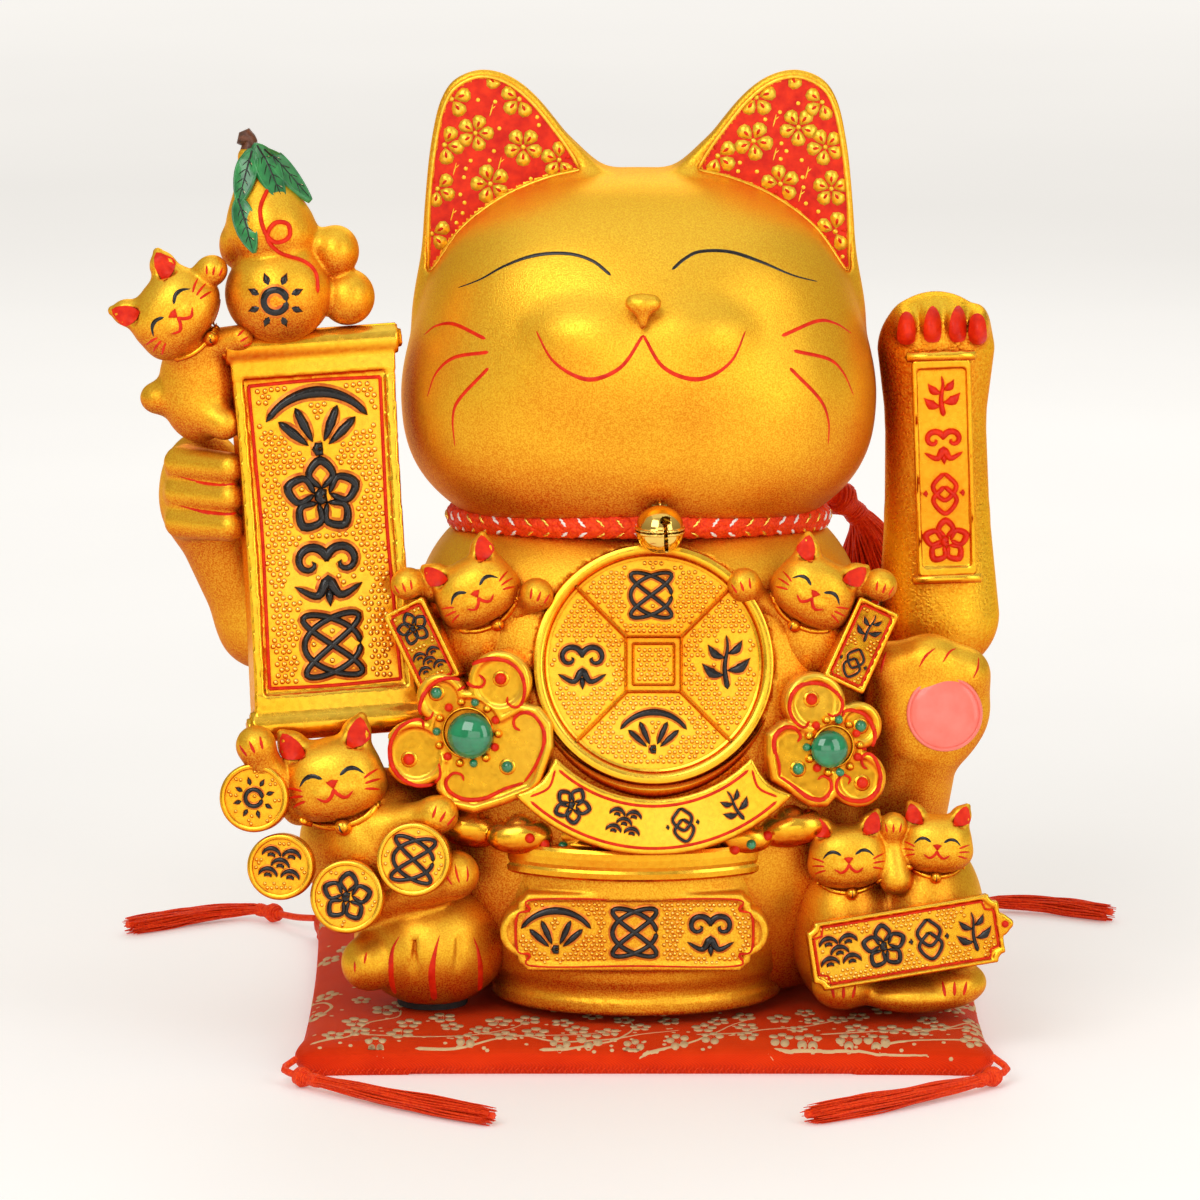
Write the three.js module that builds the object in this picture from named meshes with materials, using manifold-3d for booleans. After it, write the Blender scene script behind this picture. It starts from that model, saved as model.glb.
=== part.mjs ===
// A beckoning cat figurine, 39 cm tall: a gold ceramic cat that sits on a brocade cushion and waves a plastic arm.
// Millimetres, +Z up, the cat faces -Y. The origin is the middle of the cushion's flat underside.
import * as THREE from 'three';
import { mergeVertices } from 'three/addons/utils/BufferGeometryUtils.js';
import Module from 'manifold-3d';

const wasm = await Module();
wasm.setup();
const { Manifold, Mesh } = wasm;

// ---------------------------------------------------------------- driving dimensions
const GAP = 0.35; // between two pieces that touch
const SMOOTHED = 0.2; // slivers left by a cut are smoothed away within this
const DEG = Math.PI / 180;
const CUSHION = { width: 300, depth: 270, height: 14, corner: 10 };
const FOOT = { radius: 15, height: 4.5 };
const BASE_Z = CUSHION.height + GAP + FOOT.height; // underside of the ceramic
const WALL = 6; // thickness of the slip-cast walls
const NECK = { z: 216, slope: -0.12, hole: 40 };
const CORD = { x: -2, y: -5, radius: 6.7, halfX: 76, halfY: 60 };
const HEAD = { x: -2, y: -2, z: 288, halfX: 95, halfY: 76, halfZ: 77, power: 2.5 };
const CHEEKS = { y: -8, z: 263, halfX: 98.5, halfY: 72, halfZ: 54, power: 2.4 };
const EAR = { thickness: 26, y: 6 };
const SHOULDERS = { x: -2, y: -5, z: 160, halfX: 97, halfY: 76, halfZ: 72, power: 2.6 };
const HIPS = { x: 0, y: 0, z: 78, halfX: 106, halfY: 84, halfZ: 84, power: 2.4 };
const BELLY = { x: 0, y: -20, z: 108, halfX: 100, halfY: 70, halfZ: 92, power: 2.5 };
const COIN = { x: 4, y: -87, z: 168, radius: 51, thickness: 15, lean: 14 };
const BANNER = { inner: 56.5, outer: 80, halfAngle: 46, thickness: 11, forward: 1.5 };
const BOWL = { x: -3, y: -52, halfX: 69, halfY: 52, top: 91, rim: 10, foot: 8 };
const PLAQUE = { x: 110, y: -99, z: 51, width: 82, height: 29, thickness: 9, roll: -8 };
const SCROLL = { x: -136, y: -48, z: 217, width: 71, height: 166, thickness: 20, roller: 6.5,
  rollerForward: 6, yaw: 9, lean: 8.5 };
const PIVOT = { y: 4, z: 172 }; // the arm's axis runs along X through this point
const ARM = { x: 126, flatness: 0.72, wall: 2.4, hub: 7 };
const SHAFT = { radius: 3, from: 34, to: 141 };
const LEVER = { x: 56, width: 10, thickness: 4, bottom: 92 };
const WEIGHT = { x: 14, y: 38, z: 20, middle: 98, back: 5.6 }; // set back so that it balances the arm
const CELL = { radius: 7.25, length: 50.5 };
const REAR = { x: -8, z: 84, width: 96, height: 62, seatY: 84, cover: 2.6 };
const BELL = { x: 6.6, z: 224.5, radius: 10.2, wall: 0.9, slot: 1.6 };

// ---------------------------------------------------------------- materials
const paint = (hex, roughness, metalness = 0) =>
  new THREE.MeshStandardMaterial({ color: hex, roughness, metalness });
const GOLD = paint(0xe0a52c, 0.42, 0.85);
const BRIGHT_GOLD = paint(0xf0b934, 0.18, 1);
const PLASTIC_GOLD = paint(0xe8b12c, 0.28, 0.9);
const BRASS = paint(0xe3b64a, 0.15, 1);
const STEEL = paint(0xb8babd, 0.35, 1);
const COPPER = paint(0xb7653a, 0.3, 1);
const BLACK_PLASTIC = paint(0x1c1b1a, 0.5);
const GOLD_PLASTIC_COVER = paint(0xc9962b, 0.45, 0.3);
const GREEN_BOARD = paint(0x1f6b3a, 0.5);
const RUBBER = paint(0x161616, 0.9);
const GREEN_STONE = paint(0x0b7a3c, 0.12);
const PINK = paint(0xf58a84, 0.35);
const RED_CORD = paint(0xd8200c, 0.7);
const BROCADE = paint(0xc4150a, 0.5);
const CELL_SLEEVE = paint(0x3a5f9a, 0.4);

// ---------------------------------------------------------------- geometry into solids
function solidOf(geometry) {
  const bare = geometry.index ? geometry.toNonIndexed() : geometry.clone();
  for (const name of Object.keys(bare.attributes)) if (name !== 'position') bare.deleteAttribute(name);
  const merged = mergeVertices(bare, 1e-3);
  const kept = [];
  const index = merged.index.array;
  for (let i = 0; i < index.length; i += 3) {
    const [a, b, c] = [index[i], index[i + 1], index[i + 2]];
    if (a !== b && b !== c && c !== a) kept.push(a, b, c);
  }
  const made = new Manifold(new Mesh({
    numProp: 3,
    vertProperties: merged.attributes.position.array,
    triVerts: new Uint32Array(kept),
  }));
  return made;
}

// A form is a function of grow: the solid with every face moved out by about that much.
// A turn is [lean about X, roll about Y, yaw about Z] in degrees: the roll comes first and the yaw last.
const placed = (geometry, centre, turn = [0, 0, 0]) => {
  const euler = new THREE.Euler(...turn.map((a) => a * DEG), 'ZXY');
  const matrix = new THREE.Matrix4().compose(
    new THREE.Vector3(...centre), new THREE.Quaternion().setFromEuler(euler), new THREE.Vector3(1, 1, 1));
  return solidOf(geometry.applyMatrix4(matrix));
};

function segmentsFor(radius) {
  if (radius > 60) return [22, 12];
  if (radius > 24) return [16, 9];
  if (radius > 11) return [10, 7];
  return [8, 5];
}

// An ellipsoid, or with a power over 2 a fuller, squarer one.
const ball = (centre, radii, turn, power = 2, segments = segmentsFor(Math.max(...radii))) => (grow = 0) => {
  const [around, down] = segments;
  const geometry = new THREE.SphereGeometry(1, around, down).rotateX(Math.PI / 2);
  const at = geometry.attributes.position;
  for (let i = 0; i < at.count; i++) {
    const p = new THREE.Vector3().fromBufferAttribute(at, i);
    const size = (Math.abs(p.x) ** power + Math.abs(p.y) ** power + Math.abs(p.z) ** power) ** (1 / power);
    p.divideScalar(size).multiply(new THREE.Vector3(...radii).addScalar(grow));
    at.setXYZ(i, p.x, p.y, p.z);
  }
  return placed(geometry, centre, turn);
};

// A profile of [radius, z] points turned about Z, through centre.
const turned = (profile, centre = [0, 0, 0], turn, segments = 20) => (grow = 0) => {
  const grown = profile.map(([r, z], i) => {
    const end = i === 0 || i === profile.length - 1;
    const middle = (profile[0][1] + profile[profile.length - 1][1]) / 2;
    return new THREE.Vector2(end ? r : Math.max(r + grow, 0), z + Math.sign(z - middle) * grow);
  });
  return placed(new THREE.LatheGeometry(grown, segments).rotateX(Math.PI / 2), centre, turn);
};

// A round bar along Z, X or Y, from one end to the other.
const TURN_OF_AXIS = { x: [0, 90, 0], y: [-90, 0, 0], z: [0, 0, 0] };
const bar = (axis, centre, radius, length, segments = 20) =>
  turned([[0, -length / 2], [radius, -length / 2], [radius, length / 2], [0, length / 2]],
    centre, TURN_OF_AXIS[axis], segments);

// A limb: a tapered rod with round ends between two points.
const limb = (from, to, r1, r2 = r1) => (grow = 0) => {
  const a = new THREE.Vector3(...from);
  const along = new THREE.Vector3(...to).sub(a);
  const length = along.length();
  const quarter = r1 > 15 ? 3 : 2;
  const points = [];
  for (let i = 0; i <= quarter; i++) {
    const t = (i / quarter) * Math.PI / 2;
    points.push(new THREE.Vector2((r1 + grow) * Math.sin(t), -(r1 + grow) * Math.cos(t)));
  }
  for (let i = 0; i <= quarter; i++) {
    const t = (i / quarter) * Math.PI / 2;
    points.push(new THREE.Vector2((r2 + grow) * Math.cos(t), length + (r2 + grow) * Math.sin(t)));
  }
  points[0].x = 0;
  points[points.length - 1].x = 0;
  const spin = new THREE.Quaternion().setFromUnitVectors(new THREE.Vector3(0, 1, 0), along.normalize());
  return solidOf(new THREE.LatheGeometry(points, r1 > 15 ? 12 : 8).applyQuaternion(spin).translate(...from));
};

// An outline drawn in X and Z, as thick as given along Y, its middle at centre.
const slab = (outline, thickness, centre, turn) => (grow = 0) => {
  const shape = outline(grow);
  const depth = thickness + 2 * grow;
  const geometry = new THREE.ExtrudeGeometry(shape, { depth, bevelEnabled: false, curveSegments: 6 });
  return placed(geometry.translate(0, 0, -depth / 2).rotateX(Math.PI / 2), centre, turn);
};

const rounded = (width, height, corner) => (grow = 0) => {
  const [x, y, r] = [width / 2 + grow, height / 2 + grow, corner + grow];
  const shape = new THREE.Shape();
  shape.moveTo(-x + r, -y).lineTo(x - r, -y).absarc(x - r, -y + r, r, -Math.PI / 2, 0);
  shape.lineTo(x, y - r).absarc(x - r, y - r, r, 0, Math.PI / 2);
  shape.lineTo(-x + r, y).absarc(-x + r, y - r, r, Math.PI / 2, Math.PI);
  shape.lineTo(-x, -y + r).absarc(-x + r, -y + r, r, Math.PI, 1.5 * Math.PI);
  return shape;
};

const box = (centre, size, turn) => (grow = 0) =>
  placed(new THREE.BoxGeometry(...size.map((s) => s + 2 * grow)), centre, turn);

// Solids of a smooth outline through a few [x, z] points.
const smooth = (points, steps = 20) => (grow = 0) => {
  const middle = points.reduce((m, p) => [m[0] + p[0] / points.length, m[1] + p[1] / points.length], [0, 0]);
  const curve = new THREE.CatmullRomCurve3(points.map(([x, z]) => {
    const away = Math.hypot(x - middle[0], z - middle[1]);
    const k = 1 + grow / away;
    return new THREE.Vector3(middle[0] + (x - middle[0]) * k, middle[1] + (z - middle[1]) * k, 0);
  }), true, 'centripetal');
  return new THREE.Shape(curve.getPoints(steps).slice(0, -1).map((p) => new THREE.Vector2(p.x, p.y)));
};

// A round tube along a route of [x, y, z] points.
const tube = (route, radius, steps, sides = 8) => (grow = 0) => {
  const curve = new THREE.CatmullRomCurve3(route.map((p) => new THREE.Vector3(...p)), false, 'centripetal');
  const ring = new THREE.Shape();
  for (let i = 0; i < sides; i++) {
    const t = (i / sides) * 2 * Math.PI;
    const [x, y] = [(radius + grow) * Math.cos(t), (radius + grow) * Math.sin(t)];
    if (i === 0) ring.moveTo(x, y);
    else ring.lineTo(x, y);
  }
  return solidOf(new THREE.ExtrudeGeometry(ring, { steps, extrudePath: curve, bevelEnabled: false }));
};

// A round ring of wire about an axis.
const hoop = (axis, centre, major, minor) => (grow = 0) =>
  placed(new THREE.TorusGeometry(major, minor + grow, 6, 12), centre, TURN_OF_AXIS[axis]);

const joined = (...forms) => (grow = 0) => Manifold.union(forms.map((form) => form(grow)));
const cut = (form, ...cuts) => (grow = 0) =>
  form(grow).subtract(Manifold.union(cuts.map((c) => c(-grow))));
const within = (form, other) => (grow = 0) => form(grow).intersect(other(grow));

// ---------------------------------------------------------------- the assembly
const figurine = new THREE.Group();
const claimed = []; // outer forms of the pieces so far, in the order in which they claim their space

function addMesh(name, material, solid) {
  const largest = solid.asOriginal().simplify(SMOOTHED).decompose().sort((a, b) => b.volume() - a.volume())[0];
  const { vertProperties, triVerts, numProp } = largest.getMesh();
  const positions = new Float32Array(triVerts.length * 3);
  triVerts.forEach((v, i) => {
    for (let k = 0; k < 3; k++) positions[3 * i + k] = vertProperties[v * numProp + k];
  });
  const geometry = new THREE.BufferGeometry();
  geometry.setAttribute('position', new THREE.BufferAttribute(positions, 3));
  geometry.computeVertexNormals();
  const mesh = new THREE.Mesh(geometry, material.clone());
  mesh.name = name;
  figurine.add(mesh);
}

const apart = (a, b) => [0, 1, 2].some((k) => a.min[k] > b.max[k] || b.min[k] > a.max[k]);

// Adds a piece, cut back by a small gap from those added before it.
// A hollow piece keeps the others out of its whole outer form.
function addPiece(name, material, form, outer = form) {
  let solid = form(0);
  for (const keepOut of claimed) {
    if (!apart(solid.boundingBox(), keepOut.boundingBox())) solid = solid.subtract(keepOut);
  }
  claimed.push(outer(GAP));
  addMesh(name, material, solid);
}

const addInner = (name, material, form) => addMesh(name, material, form(0));

// ---------------------------------------------------------------- cushion and rubber feet
const cushionForm = (grow = 0) => {
  const { width, depth, height, corner } = CUSHION;
  const bevel = 5;
  const geometry = new THREE.ExtrudeGeometry(rounded(width - 2 * bevel, depth - 2 * bevel, corner)(grow), {
    depth: height - bevel, bevelThickness: bevel, bevelSize: bevel, bevelSegments: 2, curveSegments: 3,
  });
  const full = placed(geometry, [0, 0, grow]);
  return full.intersect(box([0, 0, height / 2 + grow], [width, depth, height])(grow));
};
addPiece('cushion', BROCADE, cushionForm);

const RUBBER_FEET = { front_left: [-90, -56], front_right: [104, -52], rear_left: [-70, 50], rear_right: [70, 50] };
for (const [place, [x, y]] of Object.entries(RUBBER_FEET)) {
  const middle = CUSHION.height + GAP + FOOT.height / 2;
  addPiece(`rubber_foot_${place}`, RUBBER, bar('z', [x, y, middle], FOOT.radius, FOOT.height - GAP, 16));
}

// ---------------------------------------------------------------- ceramic body and head
const aboveBase = (grow = 0) => box([0, 0, BASE_Z + 200], [700, 400, 400])(grow);
const standing = (...forms) => within(joined(...forms), aboveBase);
const neckTilt = Math.atan(NECK.slope) / DEG;
const belowNeck = box([0, 0, NECK.z - 200], [500, 500, 400], [neckTilt, 0, 0]);
const aboveNeck = box([0, 0, NECK.z + 200 + GAP], [500, 500, 400], [neckTilt, 0, 0]);
const lump = (s, wall = 0) => ball([s.x ?? HEAD.x, s.y, s.z],
  [s.halfX - wall, s.halfY - wall, s.halfZ - wall], undefined, s.power, wall > 0 ? [16, 8] : [22, 12]);

const backFlat = box([REAR.x, REAR.seatY + 20, REAR.z], [REAR.width + 8, 40, REAR.height + 8]);
const backBoss = slab(rounded(REAR.width + 8, REAR.height + 8, 10), 40, [REAR.x, REAR.seatY - 20, REAR.z]);
const torsoOuter = (grow = 0) => joined(lump(SHOULDERS), lump(HIPS), lump(BELLY), backBoss)(grow)
  .subtract(backFlat(-grow)).intersect(aboveBase(grow)).intersect(belowNeck(grow));
const torsoHollow = (grow = 0) => joined(lump(SHOULDERS, WALL), lump(HIPS, WALL), lump(BELLY, WALL))(grow)
  .intersect(box([0, 0, BASE_Z + WALL + 200], [700, 400, 400])(grow))
  .subtract(box([REAR.x, REAR.seatY + 14, REAR.z], [REAR.width + 8, 40, REAR.height + 8])(0));
const BASE_HOLE = { x: -14, y: 4, halfX: 44, halfY: 40 };
const baseDisc = (clearance, z, height) => () => bar('z', [0, 0, 0], 1, height, 24)(0)
  .scale([BASE_HOLE.halfX - clearance, BASE_HOLE.halfY - clearance, 1]).translate([BASE_HOLE.x, BASE_HOLE.y, z]);
const neckHole = bar('z', [0, 0, NECK.z], NECK.hole, 60, 20);
const rearHole = slab(rounded(REAR.width - 16, REAR.height - 14, 4), 60, [REAR.x, REAR.seatY, REAR.z]);
const BUSH = { radius: 5.2, flange: 8, from: 84, to: 98 };
const bushHole = bar('x', [SHOULDERS.halfX - 10, PIVOT.y, PIVOT.z], BUSH.radius + GAP, 40, 14);
addPiece('torso_shell', GOLD,
  cut(torsoOuter, torsoHollow, baseDisc(0, BASE_Z, 40), neckHole, rearHole, bushHole), torsoOuter);

const EAR_OUTLINE = [[-92, 300], [-94, 330], [-92, 362], [-89.5, 381], [-86, 395], [-80, 404], [-69, 408.2],
  [-57, 405.5], [-46, 397], [-34, 382], [-20, 363], [-24, 330], [-60, 305]];
const ear = (side) => slab(smooth(EAR_OUTLINE.map(([x, z]) => [HEAD.x - side * (x - HEAD.x), z]), 24),
  EAR.thickness, [0, EAR.y, 0]);
const headOuter = (grow = 0) => joined(lump(HEAD), lump(CHEEKS), ball([HEAD.x, -50, 288], [50, 36, 30]),
  ear(-1), ear(1))(grow).intersect(aboveNeck(grow));
addPiece('head_shell', GOLD,
  cut(headOuter, joined(lump(HEAD, WALL), lump(CHEEKS, WALL)), neckHole), headOuter);

// ---------------------------------------------------------------- collar cord and bell
const collarPoint = (angle) => {
  const y = CORD.y - CORD.halfY * Math.cos(angle);
  return [CORD.x + CORD.halfX * Math.sin(angle), y, NECK.z + NECK.slope * y];
};
const COLLAR_STEPS = 30;
const neckCord = (grow = 0) => {
  const points = Array.from({ length: COLLAR_STEPS }, (_, i) => collarPoint((i / COLLAR_STEPS) * 2 * Math.PI));
  const curve = new THREE.CatmullRomCurve3(points.map((p) => new THREE.Vector3(...p)), true);
  const ring = new THREE.Shape().absarc(0, 0, CORD.radius + grow, 0, 2 * Math.PI);
  return solidOf(new THREE.ExtrudeGeometry(ring,
    { steps: COLLAR_STEPS, extrudePath: curve, bevelEnabled: false, curveSegments: 4 }));
};
addPiece('neck_cord', RED_CORD, neckCord);

const front = collarPoint(0);
const bellY = front[1] - CORD.radius - GAP - BELL.radius;
const EYE = { y: bellY + 7.4, z: BELL.z + 8.8, major: 1.7, minor: 0.6 };
const bellBall = (radius) => ball([BELL.x, bellY, BELL.z], [radius, radius, radius]);
const bellSlot = box([BELL.x, bellY, BELL.z - BELL.radius], [BELL.slot, 3 * BELL.radius, 2 * BELL.radius - 5]);
const bellRim = (z) => bar('z', [BELL.x, bellY, BELL.z + z], BELL.radius + 0.6, 1.1, 20);
const bellEye = hoop('x', [BELL.x, EYE.y, EYE.z], EYE.major, EYE.minor);
const bellHalf = (side, ...extra) => cut(
  within(joined(bellBall(BELL.radius), bellRim(0.85 * side), ...extra),
    () => box([BELL.x, bellY, BELL.z + side * (20 + GAP)], [60, 60, 40])(0)),
  bellBall(BELL.radius - BELL.wall), bellSlot);
addPiece('bell_upper', BRASS, bellHalf(1, bellEye), joined(bellBall(BELL.radius), bellEye));
addInner('bell_lower', BRASS, bellHalf(-1));
addInner('bell_clapper', STEEL, ball([BELL.x, bellY, BELL.z - 5.4], [2.6, 2.6, 2.6]));
const stapleLeg = (x) => box([x, EYE.y + 4, EYE.z - 1.6], [0.9, 9, 0.9], [-24, 0, 0]);
addInner('bell_staple', BRASS, (grow) => joined(bar('x', [BELL.x, EYE.y, EYE.z], 0.55, 5.6, 8),
  stapleLeg(BELL.x - 2.6), stapleLeg(BELL.x + 2.6))(grow).subtract(neckCord(GAP)).subtract(headOuter(GAP)));

// ---------------------------------------------------------------- coin, wish sceptres and banner
// A disc that faces forward and leans back, its front face through centre.
const disc = ([x, y, z], radius, thickness, lean, yaw = 0) =>
  turned([[0, -thickness], [radius, -thickness], [radius, -1], [radius - 1, 0], [0, 0]],
    [x, y, z], [90 - lean, 0, yaw], radius > 30 ? 30 : 14);
addPiece('great_coin', GOLD, disc([COIN.x, COIN.y, COIN.z], COIN.radius, COIN.thickness, COIN.lean));

// A cloud-shaped sceptre head: a round middle, a crown lobe, two curling side lobes and a stem lobe.
const RUYI = {
  left: { at: [-73, -91, 138], size: 33, roll: -50, yaw: -10, stone: 10 },
  right: { at: [78, -90, 132], size: 27, roll: 58, yaw: 12, stone: 8.2 },
};
const LOBES = [[0, 0, 0.66], [0, 0.62, 0.46], [0.74, -0.02, 0.42], [-0.74, -0.02, 0.42], [0, -0.62, 0.44]];
const ruyiHead = ({ at: [x, y, z], size, roll, yaw }) => joined(...LOBES.map(([u, v, r]) => {
  const [c, s] = [Math.cos(roll * DEG), Math.sin(roll * DEG)];
  const along = u * c + v * s;
  return disc([x + size * along * Math.cos(yaw * DEG), y + size * along * Math.sin(yaw * DEG),
    z + size * (v * c - u * s)], r * size, 17, 8, yaw);
}));
for (const [side, r] of Object.entries(RUYI)) {
  const dome = within(ball(r.at, [r.stone, r.stone * 0.6, r.stone]),
    box([r.at[0], r.at[1] - 10 - GAP, r.at[2]], [40, 20, 40], [-8, 0, r.yaw]));
  addPiece(`stone_${side}`, GREEN_STONE, dome);
}
for (const [side, r] of Object.entries(RUYI)) addPiece(`ruyi_${side}`, BRIGHT_GOLD, ruyiHead(r));

const bannerOutline = (grow) => {
  const half = BANNER.halfAngle * DEG;
  return new THREE.Shape()
    .absarc(0, 0, BANNER.outer + grow, -Math.PI / 2 - half, -Math.PI / 2 + half, false)
    .absarc(0, 0, BANNER.inner - grow, -Math.PI / 2 + half, -Math.PI / 2 - half, true);
};
addPiece('banner', BRIGHT_GOLD, slab(bannerOutline, BANNER.thickness,
  [COIN.x, COIN.y - BANNER.forward + BANNER.thickness / 2, COIN.z], [-COIN.lean, 0, 0]));

// ---------------------------------------------------------------- treasure bowl
const oval = (profile, s) => (grow = 0) => turned(profile.map(([r, z]) => [r * s.halfX, z]), undefined, undefined, 32)(grow)
  .scale([1, s.halfY / s.halfX, 1]).translate([s.x, s.y, 0]);
const bowlForm = oval([[0, BASE_Z], [0.87, BASE_Z], [0.87, BASE_Z + BOWL.foot], [0.93, BASE_Z + BOWL.foot + 6],
  [0.965, 52], [0.96, BOWL.top - BOWL.rim], [1, BOWL.top - BOWL.rim], [1, BOWL.top - 2], [0.98, BOWL.top],
  [0, BOWL.top]], BOWL);
const bowlPanel = slab(rounded(112, 34, 10), 30, [BOWL.x - 1, -87, 54.5], [-4, 0, 0]);
const ingot = ([x, y, z], size, roll) => joined(
  ball([x, y, z], [size, size * 0.6, size * 0.42], [0, roll, 0]),
  ball([x, y, z + size * 0.3], [size * 0.5, size * 0.5, size * 0.5]));
const heap = ball([BOWL.x, BOWL.y - 4, BOWL.top], [63, 42, 14]);
addPiece('treasure_bowl', GOLD, joined(bowlForm, bowlPanel, heap,
  ingot([-76, -80, 97], 13, 8), ingot([-57, -90, 96], 13, 4), ingot([61, -88, 97], 13, -6)));

// ---------------------------------------------------------------- kittens and what they hold
const plate = ({ at: [x, y, z], width, height, thickness, lean = 8, roll, yaw = 0 }) =>
  slab(rounded(width, height, 3), thickness, [x, y, z], [-lean, roll, yaw]);
addPiece('pair_plaque', GOLD, plate({
  at: [PLAQUE.x, PLAQUE.y, PLAQUE.z], width: PLAQUE.width, height: PLAQUE.height, thickness: PLAQUE.thickness,
  roll: PLAQUE.roll, yaw: 6,
}));
addPiece('small_scroll_left', GOLD, plate({
  at: [-92, -73, 173.5], width: 19, height: 37, thickness: 16, roll: -28, yaw: -12 }));
addPiece('small_scroll_right', GOLD, plate({
  at: [90, -73, 173.5], width: 19, height: 37, thickness: 16, roll: 27, yaw: 12 }));

const COINS = [[[-164, -99, 113], 14.5], [[-153, -102, 84], 14], [[-125, -106, 72], 15.5], [[-97, -106, 88], 15.6]];
COINS.forEach(([at, radius], i) => addPiece(`fortune_coin_${i + 1}`, GOLD, disc(at, radius, 11, 10, -6)));

// A kitten: a wide head with two ears, leaning by roll, and its body, arms and paws.
const kitten = ({ head: [x, y, z], size, roll = 0, more }) => {
  const [c, s] = [Math.cos(roll * DEG), Math.sin(roll * DEG)];
  const at = (u, v) => [x + size * (u * c + v * s), y + 1, z + size * (v * c - u * s)];
  return joined(
    ball([x, y, z], [size, size * 0.74, size * 0.84], [0, roll, 0]),
    ball(at(-0.62, 0.7), [size * 0.32, size * 0.2, size * 0.4], [0, roll - 24, 0]),
    ball(at(0.62, 0.7), [size * 0.32, size * 0.2, size * 0.4], [0, roll + 24, 0]),
    ...more);
};
const paw = (at, r) => ball(at, [r, r, r]);
const KITTENS = {
  upper_left: {
    head: [-71, -73, 197], size: 18, roll: -30,
    more: [ball([-68, -58, 174], [22, 18, 22]), limb([-56, -68, 184], [-46, -76, 195], 5, 5), paw([-45, -79, 196], 7),
      limb([-80, -66, 192], [-98, -72, 200], 5, 5), paw([-100, -74, 199.5], 6.5)],
  },
  upper_right: {
    head: [72, -73, 197], size: 18, roll: 30,
    more: [ball([70, -58, 174], [22, 18, 22]), limb([56, -68, 186], [43, -75, 198], 5, 5), paw([42, -77, 200], 7),
      limb([80, -66, 192], [98, -72, 199.5], 5, 5), paw([100, -74, 199], 6.5)],
  },
  lower_left: {
    head: [-131, -84, 118.5], size: 22, roll: -12,
    more: [ball([-112, -64, 86], [34, 32, 32]), limb([-145, -84, 106], [-160, -90, 126], 8, 7), paw([-163, -92, 134], 8.5),
      limb([-110, -86, 98], [-90, -93, 104], 8, 7), paw([-86, -95, 105], 8)],
  },
  climbing: {
    head: [-196, -50, 317], size: 19, roll: -45,
    more: [ball([-188, -38, 279], [17, 15, 25]), ball([-205, -38, 273], [8, 8, 7]), paw([-181, -52, 330], 6),
      limb([-188, -41, 288], [-195, -49, 308], 11, 12), limb([-196, -50, 317], [-184, -51, 328], 9, 6),
      limb([-186, -44, 296], [-170, -52, 301], 7, 5.5), limb([-190, -42, 270], [-177, -50, 264], 9, 7)],
  },
};
for (const [place, k] of Object.entries(KITTENS)) addPiece(`kitten_${place}`, GOLD, kitten(k));
const pair = standing(
  kitten({ head: [86, -86, 85.5], size: 17, more: [ball([86, -64, 50], [24, 30, 36])] }),
  kitten({ head: [123.5, -82, 90], size: 15.5, more: [ball([120, -62, 52], [25, 30, 38])] }),
  limb([104, -82, 92], [106, -88, 76], 6, 7), paw([105, -86, 98], 6), ball([114, -86, 26], [24, 16, 9]));
addPiece('kitten_pair', GOLD, pair);

// ---------------------------------------------------------------- feet, raised left arm and tail
addPiece('pink_pad', PINK, disc([127, -72, 144], 15, 4, 10));
addPiece('right_foot', GOLD, standing(
  ball([120, -54, 143], [27, 17, 27]), ball([103, -58, 162], [10, 10, 10]), ball([121, -60, 164], [11, 10, 10]),
  ball([137, -58, 159], [9, 10, 9]), limb([116, -50, 128], [98, -30, 80], 19, 30)));
addPiece('left_foot', GOLD, standing(
  ball([-90, -64, 44], [34, 32, 28]), limb([-122, -76, 64], [-82, -90, 77], 12, 10), paw([-79, -92, 79], 9.5)));
addPiece('left_arm', GOLD, joined(
  limb([-84, -4, 166], [-162, -8, 171], 27, 19), limb([-162, -8, 171], [-184, -18, 222], 19, 19),
  ball([-187, -22, 231], [19, 18, 25])));
addPiece('tail', GOLD, standing(
  limb([50, 76, 33], [84, 68, 31], 12), limb([84, 68, 31], [106, 46, 30], 12, 11), limb([106, 46, 30], [116, 18, 32], 11, 9)));

// ---------------------------------------------------------------- scroll tablet and gourds
const tablet = [SCROLL.x, SCROLL.y, SCROLL.z];
const tabletTurn = [-SCROLL.lean, 0, SCROLL.yaw];
const tabletPoint = (v) => {
  const back = v * Math.sin(SCROLL.lean * DEG); // how far a point up the tablet lies behind its middle
  return [SCROLL.x - back * Math.sin(SCROLL.yaw * DEG), SCROLL.y + back * Math.cos(SCROLL.yaw * DEG),
    SCROLL.z + v * Math.cos(SCROLL.lean * DEG)];
};
const roller = (v) => {
  const [x, y, z] = tabletPoint(v);
  const half = SCROLL.width / 2 + 2;
  const forward = [SCROLL.rollerForward * Math.sin(SCROLL.yaw * DEG), -SCROLL.rollerForward * Math.cos(SCROLL.yaw * DEG)];
  return turned([[0, -half], [SCROLL.roller, -half], [SCROLL.roller, half], [0, half]],
    [x + forward[0], y + forward[1], z], [0, 90, SCROLL.yaw], 12);
};
addPiece('gourds', GOLD, joined(
  ball([-150, -46, 323], [21.5, 19, 21.5]), ball([-157, -41, 352], [18, 17, 18]), ball([-131, -40, 340], [11, 11, 12]),
  ball([-125, -40, 318], [12, 12, 13]), ball([-169, -38, 342], [9, 10, 11]),
  limb([-157, -40, 356], [-166, -38, 380], 13, 4), limb([-166, -38, 380], [-168, -38, 384], 3.4)));
addPiece('scroll_tablet', GOLD, joined(
  slab(rounded(SCROLL.width, SCROLL.height, 2), SCROLL.thickness, tablet, tabletTurn),
  roller(SCROLL.height / 2 - 3), roller(3 - SCROLL.height / 2)));

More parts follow.
